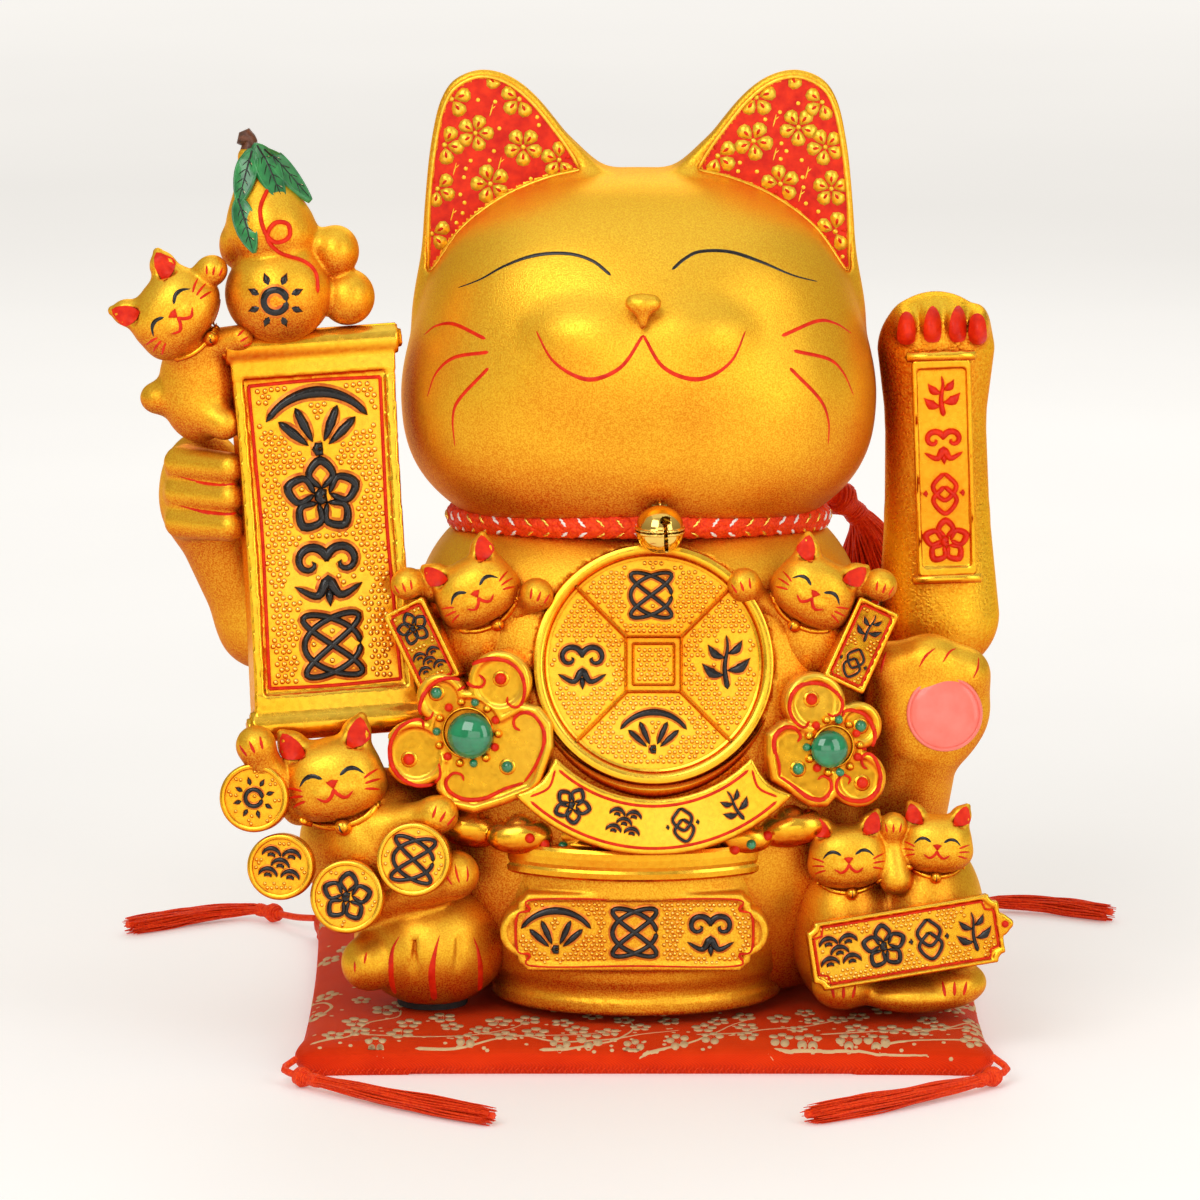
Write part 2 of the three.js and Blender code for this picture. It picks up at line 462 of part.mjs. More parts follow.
// ---------------------------------------------------------------- swinging arm
const ARM_LINE = [[127, 172, 26], [126, 215, 22.5], [125, 258, 21.5], [125, 287, 25.5]]; // x, z and half width
const armCore = (grow = 0) => joined(...[0, 1, 2].map((i) => {
  const [[x1, z1, r1], [x2, z2, r2]] = [ARM_LINE[i], ARM_LINE[i + 1]];
  return limb([x1, 0, z1], [x2, 0, z2], r1, r2);
}))(grow).scale([1, ARM.flatness + grow * 0.02, 1]).translate([0, PIVOT.y - 1.5, 0]);
const armHub = bar('x', [ARM.x, PIVOT.y, PIVOT.z], ARM.hub, 48, 14);
const shaftBar = bar('x', [(SHAFT.from + SHAFT.to) / 2, PIVOT.y, PIVOT.z], SHAFT.radius, SHAFT.to - SHAFT.from, 16);
const PLATE = { x: 128, z: 241, width: 27, height: 102, y: -18, roll: -2 };
const armPlate = joined(
  slab(rounded(PLATE.width, PLATE.height, 2), 5, [PLATE.x, PLATE.y, PLATE.z], [0, PLATE.roll, 0]),
  turned([[0, -15.5], [2.2, -15.5], [2.2, 15.5], [0, 15.5]], [126.2, PLATE.y - 1, PLATE.z + 52], [0, 90 + PLATE.roll, 0], 10),
  turned([[0, -15.5], [2.2, -15.5], [2.2, 15.5], [0, 15.5]], [129.8, PLATE.y - 1, PLATE.z - 52], [0, 90 + PLATE.roll, 0], 10));
const armHalf = (side) => () => armCore(0).subtract(armCore(-ARM.wall)).add(armHub(0).intersect(armCore(-1)))
  .intersect(box([ARM.x, PIVOT.y + side * (50 + GAP / 2), 229], [100, 100, 260])(0))
  .subtract(shaftBar(GAP)).subtract(armPlate(GAP));
addInner('arm_plate', BRIGHT_GOLD, armPlate);
addInner('arm_front_shell', PLASTIC_GOLD, armHalf(-1));
addInner('arm_back_shell', PLASTIC_GOLD, armHalf(1));
addInner('arm_shaft', STEEL, joined(shaftBar, bar('x', [LEVER.x, PIVOT.y, PIVOT.z], 6, 9, 12),
  box([LEVER.x, PIVOT.y, (PIVOT.z + LEVER.bottom) / 2], [LEVER.thickness, LEVER.width, PIVOT.z - LEVER.bottom])));
addInner('pendulum_weight', STEEL, cut(
  box([LEVER.x, PIVOT.y + WEIGHT.back, WEIGHT.middle], [WEIGHT.x, WEIGHT.y, WEIGHT.z]),
  () => box([LEVER.x, PIVOT.y, WEIGHT.middle + 10], [LEVER.thickness, LEVER.width, 32])(GAP)));

// ---------------------------------------------------------------- drive unit in the body
const ring = (axis, centre, profile, segments) => turned(profile, centre, TURN_OF_AXIS[axis], segments);
addInner('shaft_bush', BRASS, cut(joined(
  bar('x', [(BUSH.from + BUSH.to) / 2, PIVOT.y, PIVOT.z], BUSH.radius, BUSH.to - BUSH.from, 14),
  bar('x', [BUSH.to - 0.75, PIVOT.y, PIVOT.z], BUSH.flange, 1.5, 16)), () => shaftBar(GAP)));
const floorZ = BASE_Z + WALL + GAP;
const COIL = { radius: 12, bore: 4, height: 8, top: 82 };
addInner('drive_frame', BLACK_PLASTIC, cut(joined(
  box([37.5, PIVOT.y, (floorZ + 184) / 2], [3, 34, 184 - floorZ]),
  box([53, PIVOT.y, floorZ + 1.5], [34, 34, 3]),
  box([LEVER.x, PIVOT.y, (floorZ + COIL.top - COIL.height) / 2 - GAP / 2],
    [20, 20, COIL.top - COIL.height - floorZ - GAP])), () => shaftBar(GAP)));
addInner('drive_coil', COPPER, cut(
  bar('z', [LEVER.x, PIVOT.y, COIL.top - COIL.height / 2], COIL.radius, COIL.height, 20),
  bar('z', [LEVER.x, PIVOT.y, COIL.top], COIL.bore, 40, 12)));
addInner('base_plug', BLACK_PLASTIC, joined(baseDisc(GAP, BASE_Z + 2.5, 4), baseDisc(6, BASE_Z + 5, 4)));

// ---------------------------------------------------------------- rear cover, batteries, switch and inlet
const coverY = REAR.seatY + GAP + REAR.cover / 2;
const BATTERY = { x: REAR.x - 9, width: 60, height: 36, depth: 20, wall: 1.6, door: [56, 32] };
const CONTROL_X = REAR.x + 30;
const INLET = { z: REAR.z - 13, radius: 4.6, bore: 3.2, flange: 6.2 };
const SWITCH = { z: REAR.z + 10, slot: [4.2, 6, 12], knob: [3.4, 6, 5], travel: 5.4 };
const doorOpening = slab(rounded(...BATTERY.door, 2), 20, [BATTERY.x, coverY, REAR.z]);
addInner('rear_cover', GOLD_PLASTIC_COVER, cut(
  slab(rounded(REAR.width, REAR.height, 7), REAR.cover, [REAR.x, coverY, REAR.z]), doorOpening,
  bar('y', [CONTROL_X, coverY, INLET.z], INLET.radius + GAP, 20, 14),
  box([CONTROL_X, coverY, SWITCH.z], SWITCH.slot.map((s, i) => (i === 1 ? 20 : s)))));
addInner('battery_door', GOLD_PLASTIC_COVER, joined(
  slab(rounded(BATTERY.door[0] - 2 * GAP, BATTERY.door[1] - 2 * GAP, 1.7), REAR.cover - GAP, [BATTERY.x, coverY, REAR.z]),
  box([BATTERY.x + 20, coverY + 1.4, REAR.z], [2, 1.4, 14]), box([BATTERY.x + 16, coverY + 1.4, REAR.z], [2, 1.4, 14])));
addInner('battery_box', BLACK_PLASTIC, cut(
  box([BATTERY.x, REAR.seatY - BATTERY.depth / 2, REAR.z], [BATTERY.width, BATTERY.depth, BATTERY.height]),
  box([BATTERY.x, REAR.seatY - BATTERY.depth / 2 + BATTERY.wall, REAR.z],
    [BATTERY.width - 2 * BATTERY.wall, BATTERY.depth, BATTERY.height - 2 * BATTERY.wall])));
[-1, 1].forEach((side, i) => addInner(`battery_cell_${i + 1}`, CELL_SLEEVE, joined(
  bar('x', [BATTERY.x - 1, REAR.seatY - 10.5, REAR.z + side * (CELL.radius + 0.4)], CELL.radius, CELL.length, 16),
  bar('x', [BATTERY.x - 1 + side * (CELL.length / 2 + 0.6), REAR.seatY - 10.5, REAR.z + side * (CELL.radius + 0.4)], 2.7, 1.2, 10))));
addInner('power_switch', BLACK_PLASTIC, box([CONTROL_X, coverY + 0.8, SWITCH.z - SWITCH.travel / 2], SWITCH.knob));
addInner('dc_socket', BLACK_PLASTIC, ring('y', [CONTROL_X, REAR.seatY, INLET.z], [[0, -12], [INLET.radius, -12],
  [INLET.radius, REAR.cover + 2 * GAP], [INLET.flange, REAR.cover + 2 * GAP], [INLET.flange, REAR.cover + 1.8],
  [INLET.bore, REAR.cover + 1.8], [INLET.bore, -8], [0, -8]], 16));

// ---------------------------------------------------------------- tassels
// A tassel lies along a route: a thin cord to the knot, then the skirt of threads.
const TASSEL = { cord: 1.5, knot: 5, skirt: 4.3 };
const tassel = (route, knotAt, scale = 1) => joined(
  tube(route.slice(0, knotAt + 1), TASSEL.cord * scale, 5, 8),
  paw(route[knotAt], TASSEL.knot * scale * 0.86),
  tube(route.slice(knotAt), TASSEL.skirt * scale, 6, 8));
const LIE = 4.6; // height of a skirt's middle over the table
const TASSELS = {
  front_left: [[-146, -131, 8], [-150.5, -140, 6], [-143, -147, LIE], [-134, -156, LIE], [-100, -186, LIE], [-62, -213, LIE]],
  front_right: [[146, -131, 9], [151.5, -140, 6], [145, -147, LIE], [138, -155, LIE], [104, -184, LIE], [66, -211, LIE]],
  rear_left: [[-146, 131, 8], [-155, 142, 6], [-166, 157, LIE], [-178, 164, LIE], [-206, 150, LIE], [-230, 132, LIE]],
  rear_right: [[146, 131, 8], [153, 144, 6], [153, 166, LIE], [160, 179, LIE], [186, 173, LIE], [212, 158, LIE]],
};
for (const [place, route] of Object.entries(TASSELS)) addPiece(`tassel_${place}`, RED_CORD, tassel(route, 2));
addPiece('collar_tassel', RED_CORD, tassel([[72, 35, 212], [82, 43, 216], [88, 48, 212], [97, 54, 200], [100, 57, 182],
  [99, 57, 166]], 2, 1.75));

export default figurine;
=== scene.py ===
import math

import bpy
import numpy as np
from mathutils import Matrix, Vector
from mathutils.bvhtree import BVHTree
from mathutils.geometry import delaunay_2d_cdt


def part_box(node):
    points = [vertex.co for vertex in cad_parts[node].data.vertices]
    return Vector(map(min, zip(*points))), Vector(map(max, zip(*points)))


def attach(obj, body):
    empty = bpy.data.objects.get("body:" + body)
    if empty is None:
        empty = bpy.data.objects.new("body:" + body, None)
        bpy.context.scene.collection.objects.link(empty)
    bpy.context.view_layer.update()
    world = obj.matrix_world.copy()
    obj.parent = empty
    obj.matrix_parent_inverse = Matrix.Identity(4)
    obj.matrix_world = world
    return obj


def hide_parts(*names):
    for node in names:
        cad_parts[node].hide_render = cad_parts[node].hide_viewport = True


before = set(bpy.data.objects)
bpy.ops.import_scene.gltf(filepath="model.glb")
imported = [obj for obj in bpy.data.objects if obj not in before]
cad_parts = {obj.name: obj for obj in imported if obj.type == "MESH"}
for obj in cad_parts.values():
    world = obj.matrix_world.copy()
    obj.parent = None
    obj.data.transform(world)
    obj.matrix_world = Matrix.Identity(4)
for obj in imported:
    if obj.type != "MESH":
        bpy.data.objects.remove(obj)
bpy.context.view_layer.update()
MM = 0.001  # every form below is worked out in millimetres of the row frame
RNG = np.random.default_rng(11)


def box(node):
    """Lowest and highest corner of a CAD node, in millimetres."""
    low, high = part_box(node)
    return np.array(low) / MM, np.array(high) / MM


# ---------------------------------------- camera and light
def look(ob, target):
    ob.rotation_euler = (Vector(target) - ob.location).to_track_quat("-Z", "Y").to_euler()


AIM = (-0.0185, 0.0, 0.1784)
DISTANCE, DOWN = 3.85, math.radians(11)  # from the camera to its aim, and how much it looks down
camera = bpy.data.objects.new("camera", bpy.data.cameras.new("camera"))
bpy.context.scene.collection.objects.link(camera)
camera.data.lens = 269.1
camera.data.sensor_width = 36
camera.location = (AIM[0], -DISTANCE * math.cos(DOWN), AIM[2] + DISTANCE * math.sin(DOWN))
look(camera, AIM)
bpy.context.scene.camera = camera
bpy.context.scene.view_settings.view_transform = "Standard"

for name, at, size, power in (
        ("key", (-0.75, -1.5, 1.45), (1.2, 1.2), 16), ("fill", (1.25, -1.2, 0.8), (0.8, 1.4), 8),
        ("top", (0.0, 0.1, 1.7), (1.8, 1.6), 3), ("front", (0.0, -2.2, 0.55), (1.6, 0.8), 5),
        ("back", (0.2, 1.6, 1.2), (1.6, 0.8), 7)):
    light = bpy.data.lights.new(name, "AREA")
    light.shape, light.size, light.size_y, light.energy = "RECTANGLE", *size, power
    lamp = bpy.data.objects.new(name, light)
    bpy.context.scene.collection.objects.link(lamp)
    lamp.location = at
    look(lamp, (0, 0, 0.2))

world = bpy.data.worlds.new("studio")
bpy.context.scene.world = world
world.use_nodes = True
w_nodes, w_links = world.node_tree.nodes, world.node_tree.links
w_back = w_nodes["Background"]
w_coord = w_nodes.new("ShaderNodeTexCoord")
w_split = w_nodes.new("ShaderNodeSeparateXYZ")
w_ramp = w_nodes.new("ShaderNodeValToRGB")
w_links.new(w_coord.outputs["Generated"], w_split.inputs[0])
w_links.new(w_split.outputs["Z"], w_ramp.inputs[0])
w_links.new(w_ramp.outputs[0], w_back.inputs["Color"])
w_ramp.color_ramp.elements[0].color = (0.56, 0.45, 0.32, 1)
w_ramp.color_ramp.elements[1].color = (1.0, 0.98, 0.94, 1)
w_back.inputs["Strength"].default_value = 0.55


# ---------------------------------------- materials
class Paint:
    """A Principled material with helpers that add procedural nodes."""

    def __init__(self, name, colour, roughness, metallic=0.0, **more):
        self.m = bpy.data.materials.new(name)
        self.m.use_nodes = True
        self.m.diffuse_color = (*colour, 1)
        self.tree = self.m.node_tree
        self.shader = self.tree.nodes["Principled BSDF"]
        self.set("Base Color", (*colour, 1))
        self.set("Roughness", roughness)
        self.set("Metallic", metallic)
        for key, value in more.items():
            self.set(key.replace("_", " "), value)
        self.at = self.node("TexCoord").outputs["Object"]

    def set(self, socket, value):
        if isinstance(value, bpy.types.NodeSocket):
            self.tree.links.new(value, self.shader.inputs[socket])
        else:
            self.shader.inputs[socket].default_value = value

    def node(self, kind, **settings):
        n = self.tree.nodes.new("ShaderNode" + kind)
        for key, value in settings.items():
            setattr(n, key, value)
        return n

    def feed(self, n, **inputs):
        for key, value in inputs.items():
            socket = n.inputs[int(key[1:])] if key[0] == "_" else n.inputs[key]
            if isinstance(value, bpy.types.NodeSocket):
                self.tree.links.new(value, socket)
            else:
                socket.default_value = value
        return n

    def maths(self, how, a, b=0.0):
        return self.feed(self.node("Math", operation=how), _0=a, _1=b).outputs[0]

    def noise(self, scale, detail=2.0):
        n = self.node("TexNoise")
        return self.feed(n, Vector=self.at, Scale=scale, Detail=detail, Roughness=0.5).outputs[0]

    def cells(self, scale):
        n = self.node("TexVoronoi", feature="SMOOTH_F1")
        return self.feed(n, Vector=self.at, Scale=scale).outputs["Distance"]

    def wave(self, scale, turn):
        at = self.feed(self.node("Mapping"), Vector=self.at, Rotation=turn).outputs[0]
        n = self.node("TexWave")
        return self.feed(n, Vector=at, Scale=scale, Distortion=0.0).outputs["Fac"]

    def span(self, value, low, high, new_low=0.0, new_high=1.0):
        n = self.feed(self.node("MapRange"), _0=value, _1=low, _2=high, _3=new_low, _4=new_high)
        return n.outputs[0]

    def ramp(self, value, *stops):
        n = self.node("ValToRGB")
        self.feed(n, _0=value)
        marks = n.color_ramp.elements
        while len(marks) < len(stops):
            marks.new(0.5)
        for mark, (place, colour) in zip(marks, stops):
            mark.position, mark.color = place, (*colour, 1)
        return n.outputs[0]

    def mix(self, fac, a, b, how="MIX"):
        n = self.node("Mix", data_type="RGBA", blend_type=how)
        wrap = lambda c: c if isinstance(c, bpy.types.NodeSocket) else (*c, 1)
        self.feed(n, _0=fac, _6=wrap(a), _7=wrap(b))
        return n.outputs[2]

    def bump(self, height, depth):
        n = self.feed(self.node("Bump"), Height=height, Distance=depth, Strength=1.0)
        self.set("Normal", n.outputs[0])

    def up(self):
        split = self.feed(self.node("SeparateXYZ"), _0=self.node("NewGeometry").outputs["Normal"])
        return split.outputs["Z"]

    # ambient occlusion: the materials use it to paint shade into hollows and creases
    def crevice(self, reach):
        n = self.node("AmbientOcclusion", samples=6)
        return self.feed(n, Distance=reach).outputs["AO"]


def gold_paint(name, rough, grain, depth, pale=(1.0, 0.60, 0.048), reach=0.022, metallic=0.72, hollow_spray_and_shade=1.0,
               grain_glint=0.42):
    """Gold that turns orange and red on faces turned down and in hollows, and paler on faces turned up:
    partly the orange and red spray the real piece has there, partly painted shade and painted light.
    """
    p = Paint(name, (0.95, 0.50, 0.03), rough, metallic, Specular_Tint=(1.0, 0.6, 0.15, 1))
    drift = p.noise(14, 2)
    # painted light and painted shade: faces turned up are coloured paler, faces turned down deeper orange
    # and red
    up = p.maths("ADD", p.span(p.up(), -1.0, 0.75), p.span(drift, 0.3, 0.7, -0.12, 0.12))
    # painted shade: ambient occlusion darkens and reddens the colour in hollows and creases
    hollow = p.span(p.crevice(reach), 0.25, 0.92)
    lit = p.maths("MULTIPLY", up, p.maths("POWER", hollow, 0.8 * hollow_spray_and_shade))
    # the ramp runs from the deep red of the painted shade to the pale colour of the painted light
    tone = p.ramp(lit, (0.0, (0.38, 0.014, 0.002)), (0.2, (0.62, 0.06, 0.003)), (0.42, (0.82, 0.23, 0.007)),
                  (0.62, (0.95, 0.48, 0.020)), (1.0, pale))
    # grain and painted glints: dull specks, and pale glints standing for sparkle off the metallic paint,
    # mixed by fine noise
    dull = p.mix(1.0, tone, (1 - 0.35 * grain_glint, 1 - 0.8 * grain_glint, 1 - grain_glint), "MULTIPLY")
    glint = p.mix(1.2 * grain_glint, tone, (1.0, 0.72, 0.06))
    p.set("Base Color", p.mix(p.span(p.noise(grain, 1), 0.34, 0.66), dull, glint))
    p.set("Roughness", p.span(p.noise(grain * 0.7, 1), 0.25, 0.75, rough - 0.07, rough + 0.09))
    p.bump(p.noise(grain, 2), depth)
    return p


satin_gold = gold_paint("satin_gold", 0.38, 1500, 0.00013, grain_glint=0.3)
bright_gold = gold_paint("bright_gold", 0.22, 500, 0.00003, (1.0, 0.64, 0.07), 0.006, 0.85, 0.5, 0.08)
lacquer_gold = gold_paint("lacquer_gold", 0.2, 500, 0.00003, (1.0, 0.68, 0.08), 0.003, 0.6, 0.3, 0.06)
roe_gold = gold_paint("roe_gold", 0.26, 900, 0.00005, (1.0, 0.78, 0.26), 0.0025, 0.9, 0.4, 0.1)
arm_gold = gold_paint("moulded_gold", 0.30, 900, 0.00002, (1.0, 0.64, 0.05), 0.02, 0.85, 1.0, 0.2)
pebble = arm_gold.cells(820)
arm_gold.bump(arm_gold.maths("ADD", pebble, arm_gold.noise(1500, 2)), 0.00022)

brass = Paint("polished_brass", (0.86, 0.55, 0.12), 0.08, 1.0)
# painted shade: ambient occlusion turns the brass dark brown in its slot, holes and creases
brass.set("Base Color", brass.mix(brass.span(brass.crevice(0.003), 0.3, 0.9), (0.30, 0.12, 0.01),
                                  (0.93, 0.62, 0.14)))
brass.set("Roughness", brass.span(brass.noise(300, 3), 0.3, 0.7, 0.05, 0.14))
brass.bump(brass.noise(90, 2), 0.00006)


def glaze(name, colour, rough, metallic, tones, relief=None, **more):
    """A painted coat. tones: the scale and detail of its noise, then the two ends of its ramp."""
    p = Paint(name, colour, rough, metallic, **more)
    scale, detail, *ends = tones
    p.set("Base Color", p.ramp(p.noise(scale, detail), *ends))
    if relief:
        p.bump(p.noise(*relief[:2]), relief[2])
    return p


# painted shade: the raised gold base round each black stroke is coloured a darker orange gold for the shade
# on its sides
halo = glaze("orange_gold_shade", (0.80, 0.20, 0.012), 0.35, 0.5,
             (300, 2, (0.3, (0.62, 0.10, 0.006)), (0.7, (0.88, 0.27, 0.016))), (700, 2, 0.00006))
black = glaze("black_enamel", (0.006, 0.005, 0.005), 0.2, 0.0,
              (700, 2, (0.3, (0.003, 0.003, 0.003)), (0.7, (0.014, 0.010, 0.008))), (420, 2, 0.00025),
              Coat_Weight=0.15, Coat_Roughness=0.1, Specular_IOR_Level=0.35)
red = glaze("red_enamel", (0.68, 0.022, 0.003), 0.42, 0.0,
            (260, 3, (0.25, (0.55, 0.006, 0.001)), (0.75, (0.84, 0.034, 0.004))), (600, 2, 0.0001),
            Coat_Weight=0.04, Coat_Roughness=0.2, Specular_IOR_Level=0.18)
yellow = glaze("yellow_gold_print", (0.95, 0.62, 0.10), 0.3, 0.65,
               (500, 2, (0.3, (0.90, 0.48, 0.02)), (0.7, (1.0, 0.66, 0.06))), (1500, 1, 0.00004))
# painted highlight: pale gold for the glints on the leaves
glint_gold = glaze("painted_glint_gold", (1.0, 0.86, 0.56), 0.34, 0.6,
              (400, 2, (0.3, (0.96, 0.66, 0.24)), (0.7, (1.0, 0.90, 0.62))))
green = glaze("green_glaze", (0.0, 0.17, 0.055), 0.07, 0.0,
              (160, 3, (0.3, (0.0, 0.13, 0.045)), (0.7, (0.004, 0.27, 0.10))), Coat_Weight=1.0,
              Coat_Roughness=0.03)
leaf = glaze("leaf_green", (0.01, 0.20, 0.05), 0.3, 0.0,
             (220, 3, (0.3, (0.003, 0.11, 0.03)), (0.7, (0.03, 0.30, 0.07))), (500, 2, 0.0002),
             Coat_Weight=0.5, Coat_Roughness=0.1)
stalk = glaze("stem_brown", (0.10, 0.03, 0.015), 0.4, 0.0,
              (300, 3, (0.3, (0.05, 0.015, 0.008)), (0.7, (0.20, 0.06, 0.02))), (500, 3, 0.0003))
pink = glaze("pink_glaze", (0.92, 0.20, 0.16), 0.25, 0.0,
             (120, 3, (0.3, (0.90, 0.17, 0.125)), (0.7, (0.94, 0.22, 0.17))), (300, 2, 0.00012),
             Coat_Weight=0.3, Coat_Roughness=0.1, Specular_IOR_Level=0.3)


def thread(name, dark, light, rough=0.5, sheen=0.6):
    p = Paint(name, light, rough, 0.0, Sheen_Weight=sheen, Sheen_Roughness=0.35,
              Sheen_Tint=(1.0, 0.22, 0.08, 1), Specular_IOR_Level=0.2)
    p.set("Base Color", p.ramp(p.noise(900, 3), (0.3, dark), (0.7, light)))
    p.bump(p.noise(3200, 2), 0.0002)
    return p


cord_red = thread("red_cord", (0.74, 0.020, 0.002), (1.0, 0.080, 0.006), 0.45, 0.12)
silk_red = thread("red_silk", (0.74, 0.020, 0.002), (1.0, 0.085, 0.006), 0.36, 0.15)
white_thread = Paint("white_filament", (0.92, 0.90, 0.84), 0.3)
gold_thread = Paint("gold_filament", (1.0, 0.70, 0.12), 0.22, 0.9)
for filament_paint in (white_thread, gold_thread):
    filament_paint.bump(filament_paint.noise(2500, 1), 0.0001)


def brocade(name, dark, light, weave=1500):
    """Satin brocade: a fine twill whose floats catch the light, with slow changes of tone."""
    p = Paint(name, light, 0.42, 0.0, Sheen_Weight=0.15, Sheen_Roughness=0.4,
              Sheen_Tint=(1.0, 0.25, 0.06, 1), Specular_IOR_Level=0.06)
    twill = p.wave(weave, (0.0, 0.0, 0.62))
    cross = p.wave(weave * 0.8, (0.0, 1.1, -0.9))
    cloth = p.maths("ADD", p.maths("MULTIPLY", twill, 0.65), p.maths("MULTIPLY", cross, 0.35))
    tone = p.maths("ADD", p.maths("MULTIPLY", cloth, 0.55), p.maths("MULTIPLY", p.noise(45, 3), 0.6))
    p.set("Base Color", p.ramp(tone, (0.25, dark), (0.85, light)))
    p.set("Roughness", p.span(cloth, 0.2, 0.9, 0.5, 0.32))
    p.bump(cloth, 0.00018)
    return p


satin_red = brocade("red_brocade", (0.72, 0.018, 0.002), (1.0, 0.066, 0.006))
# painted shade: a darker copy of the brocade, with a coarser weave, for the cushion's sides
twill_side_shade = brocade("red_twill_side_shade", (0.62, 0.014, 0.001), (0.98, 0.056, 0.004), 900)
blossom_gold = Paint("woven_peach_gold", (0.95, 0.55, 0.24), 0.42, 0.0, Specular_IOR_Level=0.06)
floats = blossom_gold.wave(1500, (0, 0, 0.62))
blossom_gold.set("Base Color",
                 blossom_gold.ramp(floats, (0.2, (1.0, 0.56, 0.22)), (0.8, (1.0, 0.84, 0.50))))
blossom_gold.bump(floats, 0.00018)


def plain(name, colour, rough, metallic, scale, depth, spread=0.25, **more):
    """A moulded, cast or drawn surface: slight tone drift and a fine texture of its own scale."""
    p = Paint(name, colour, rough, metallic, **more)
    low = tuple(c * (1 - spread) for c in colour)
    high = tuple(min(1.0, c * (1 + spread)) for c in colour)
    p.set("Base Color", p.ramp(p.noise(scale * 0.2, 3), (0.3, low), (0.7, high)))
    p.set("Roughness", p.span(p.noise(scale * 0.5, 2), 0.3, 0.7, rough - 0.05, rough + 0.08))
    p.bump(p.noise(scale, 2), depth)
    return p


cover = plain("cover_plastic", (0.80, 0.42, 0.07), 0.38, 0.55, 2200, 0.00008, 0.1)
dark_plastic = plain("black_plastic", (0.02, 0.02, 0.021), 0.42, 0.0, 2600, 0.00008)
steel = plain("steel", (0.55, 0.56, 0.58), 0.28, 1.0, 900, 0.00004, 0.1)
copper = plain("copper_wire", (0.80, 0.33, 0.14), 0.3, 1.0, 3000, 0.0002, 0.2)
rubber = plain("rubber", (0.025, 0.024, 0.023), 0.75, 0.0, 1500, 0.00015)
sleeve = plain("cell_sleeve", (0.03, 0.10, 0.30), 0.3, 0.0, 300, 0.00003, 0.15, Coat_Weight=0.5)


# ---------------------------------------- meshes
class Bag:
    """Faces gathered for one piece, each lot with the number of its material."""

    def __init__(self):
        self.v, self.f, self.n = [], [], 0

    def add(self, verts, faces, slot=0):
        verts = np.asarray(verts, float).reshape(-1, 3)
        faces = np.asarray(faces, int)
        if len(faces):
            self.v.append(verts)
            self.f.append((faces + self.n, slot))
            self.n += len(verts)
        return self


def grid(rows, cols, ring=False, loop=False, turned=False):
    """Quads between rows of points. ring joins the last row to the first, loop closes each row."""
    i = np.arange(rows if ring else rows - 1)[:, None] * cols
    j = (i + cols) % (rows * cols)
    k = np.arange(cols if loop else cols - 1)[None, :]
    m = (k + 1) % cols
    corners = (i + k, j + k, j + m, i + m) if turned else (i + k, i + m, j + m, j + k)
    return np.stack(corners, -1).reshape(-1, 4)


def make(name, bag, paints, body="figure", replaces=(), sharp=None):
    """Turns a bag into a piece that rides on a body."""
    me = bpy.data.meshes.new(name)
    verts = np.concatenate(bag.v) * MM
    loops = np.concatenate([f.ravel() for f, _ in bag.f])
    totals = np.concatenate([np.full(len(f), f.shape[1]) for f, _ in bag.f])
    me.vertices.add(len(verts))
    me.vertices.foreach_set("co", verts.ravel())
    me.loops.add(len(loops))
    me.loops.foreach_set("vertex_index", loops.astype(np.int32))
    me.polygons.add(len(totals))
    me.polygons.foreach_set("loop_start", np.concatenate([[0], np.cumsum(totals)[:-1]]).astype(np.int32))
    me.polygons.foreach_set("use_smooth", np.ones(len(totals), bool))
    marks = np.concatenate([np.full(len(f), s) for f, s in bag.f])
    me.polygons.foreach_set("material_index", marks.astype(np.int32))
    for p in paints if isinstance(paints, (list, tuple)) else [paints]:
        me.materials.append(p.m)
    me.update(calc_edges=True)
    me.validate()
    if sharp:
        me.set_sharp_from_angle(angle=math.radians(sharp))
    ob = bpy.data.objects.new(name, me)
    bpy.context.scene.collection.objects.link(ob)
    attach(ob, body)
    if replaces:
        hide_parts(*replaces)
    return ob


def finish_node(node, paint, slot):
    """Gives a CAD node that stays a procedural material."""
    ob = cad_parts[node]
    for s in ob.material_slots:
        s.link = "OBJECT"
        s.material = paint.m


# ---------------------------------------- forms: signed distance to a surface
def turn(lean=0.0, roll=0.0, yaw=0.0):
    """Leans back by lean, tips its top to +X by roll, then turns about Z by yaw, in degrees."""
    a, b, c = -math.radians(lean), math.radians(roll), math.radians(yaw)
    x = np.array([[1, 0, 0], [0, math.cos(a), -math.sin(a)], [0, math.sin(a), math.cos(a)]])
    y = np.array([[math.cos(b), 0, math.sin(b)], [0, 1, 0], [-math.sin(b), 0, math.cos(b)]])
    z = np.array([[math.cos(c), -math.sin(c), 0], [math.sin(c), math.cos(c), 0], [0, 0, 1]])
    return z @ x @ y


class Plane:
    """A local frame: u to the right, v up, and -w out of its front."""

    def __init__(self, at, lean=0.0, roll=0.0, yaw=0.0):
        self.o, self.R = np.array(at, float), turn(lean, roll, yaw)

    def world(self, p):
        return np.asarray(p, float) @ self.R.T + self.o

    def local(self, p):
        return (p - self.o) @ self.R

    def put(self, u, v, w=0.0):
        return self.world([u, w, v])

    def moved(self, w):
        """The same plane, w further back."""
        other = Plane(self.put(0, 0, w))
        other.R = self.R
        return other


def ball(at, radii, lean=0.0, roll=0.0, yaw=0.0, power=2.0):
    at, r, R = np.array(at, float), np.array(radii, float) * np.ones(3), turn(lean, roll, yaw)

    def f(p):
        q = np.abs((p - at) @ R) / r + 1e-9
        k = (q ** power).sum(1) ** (1 / power)
        g = np.sqrt(((q ** (power - 1) / r) ** 2).sum(1)) * k ** (1 - power)
        return (k - 1) / g

    return f


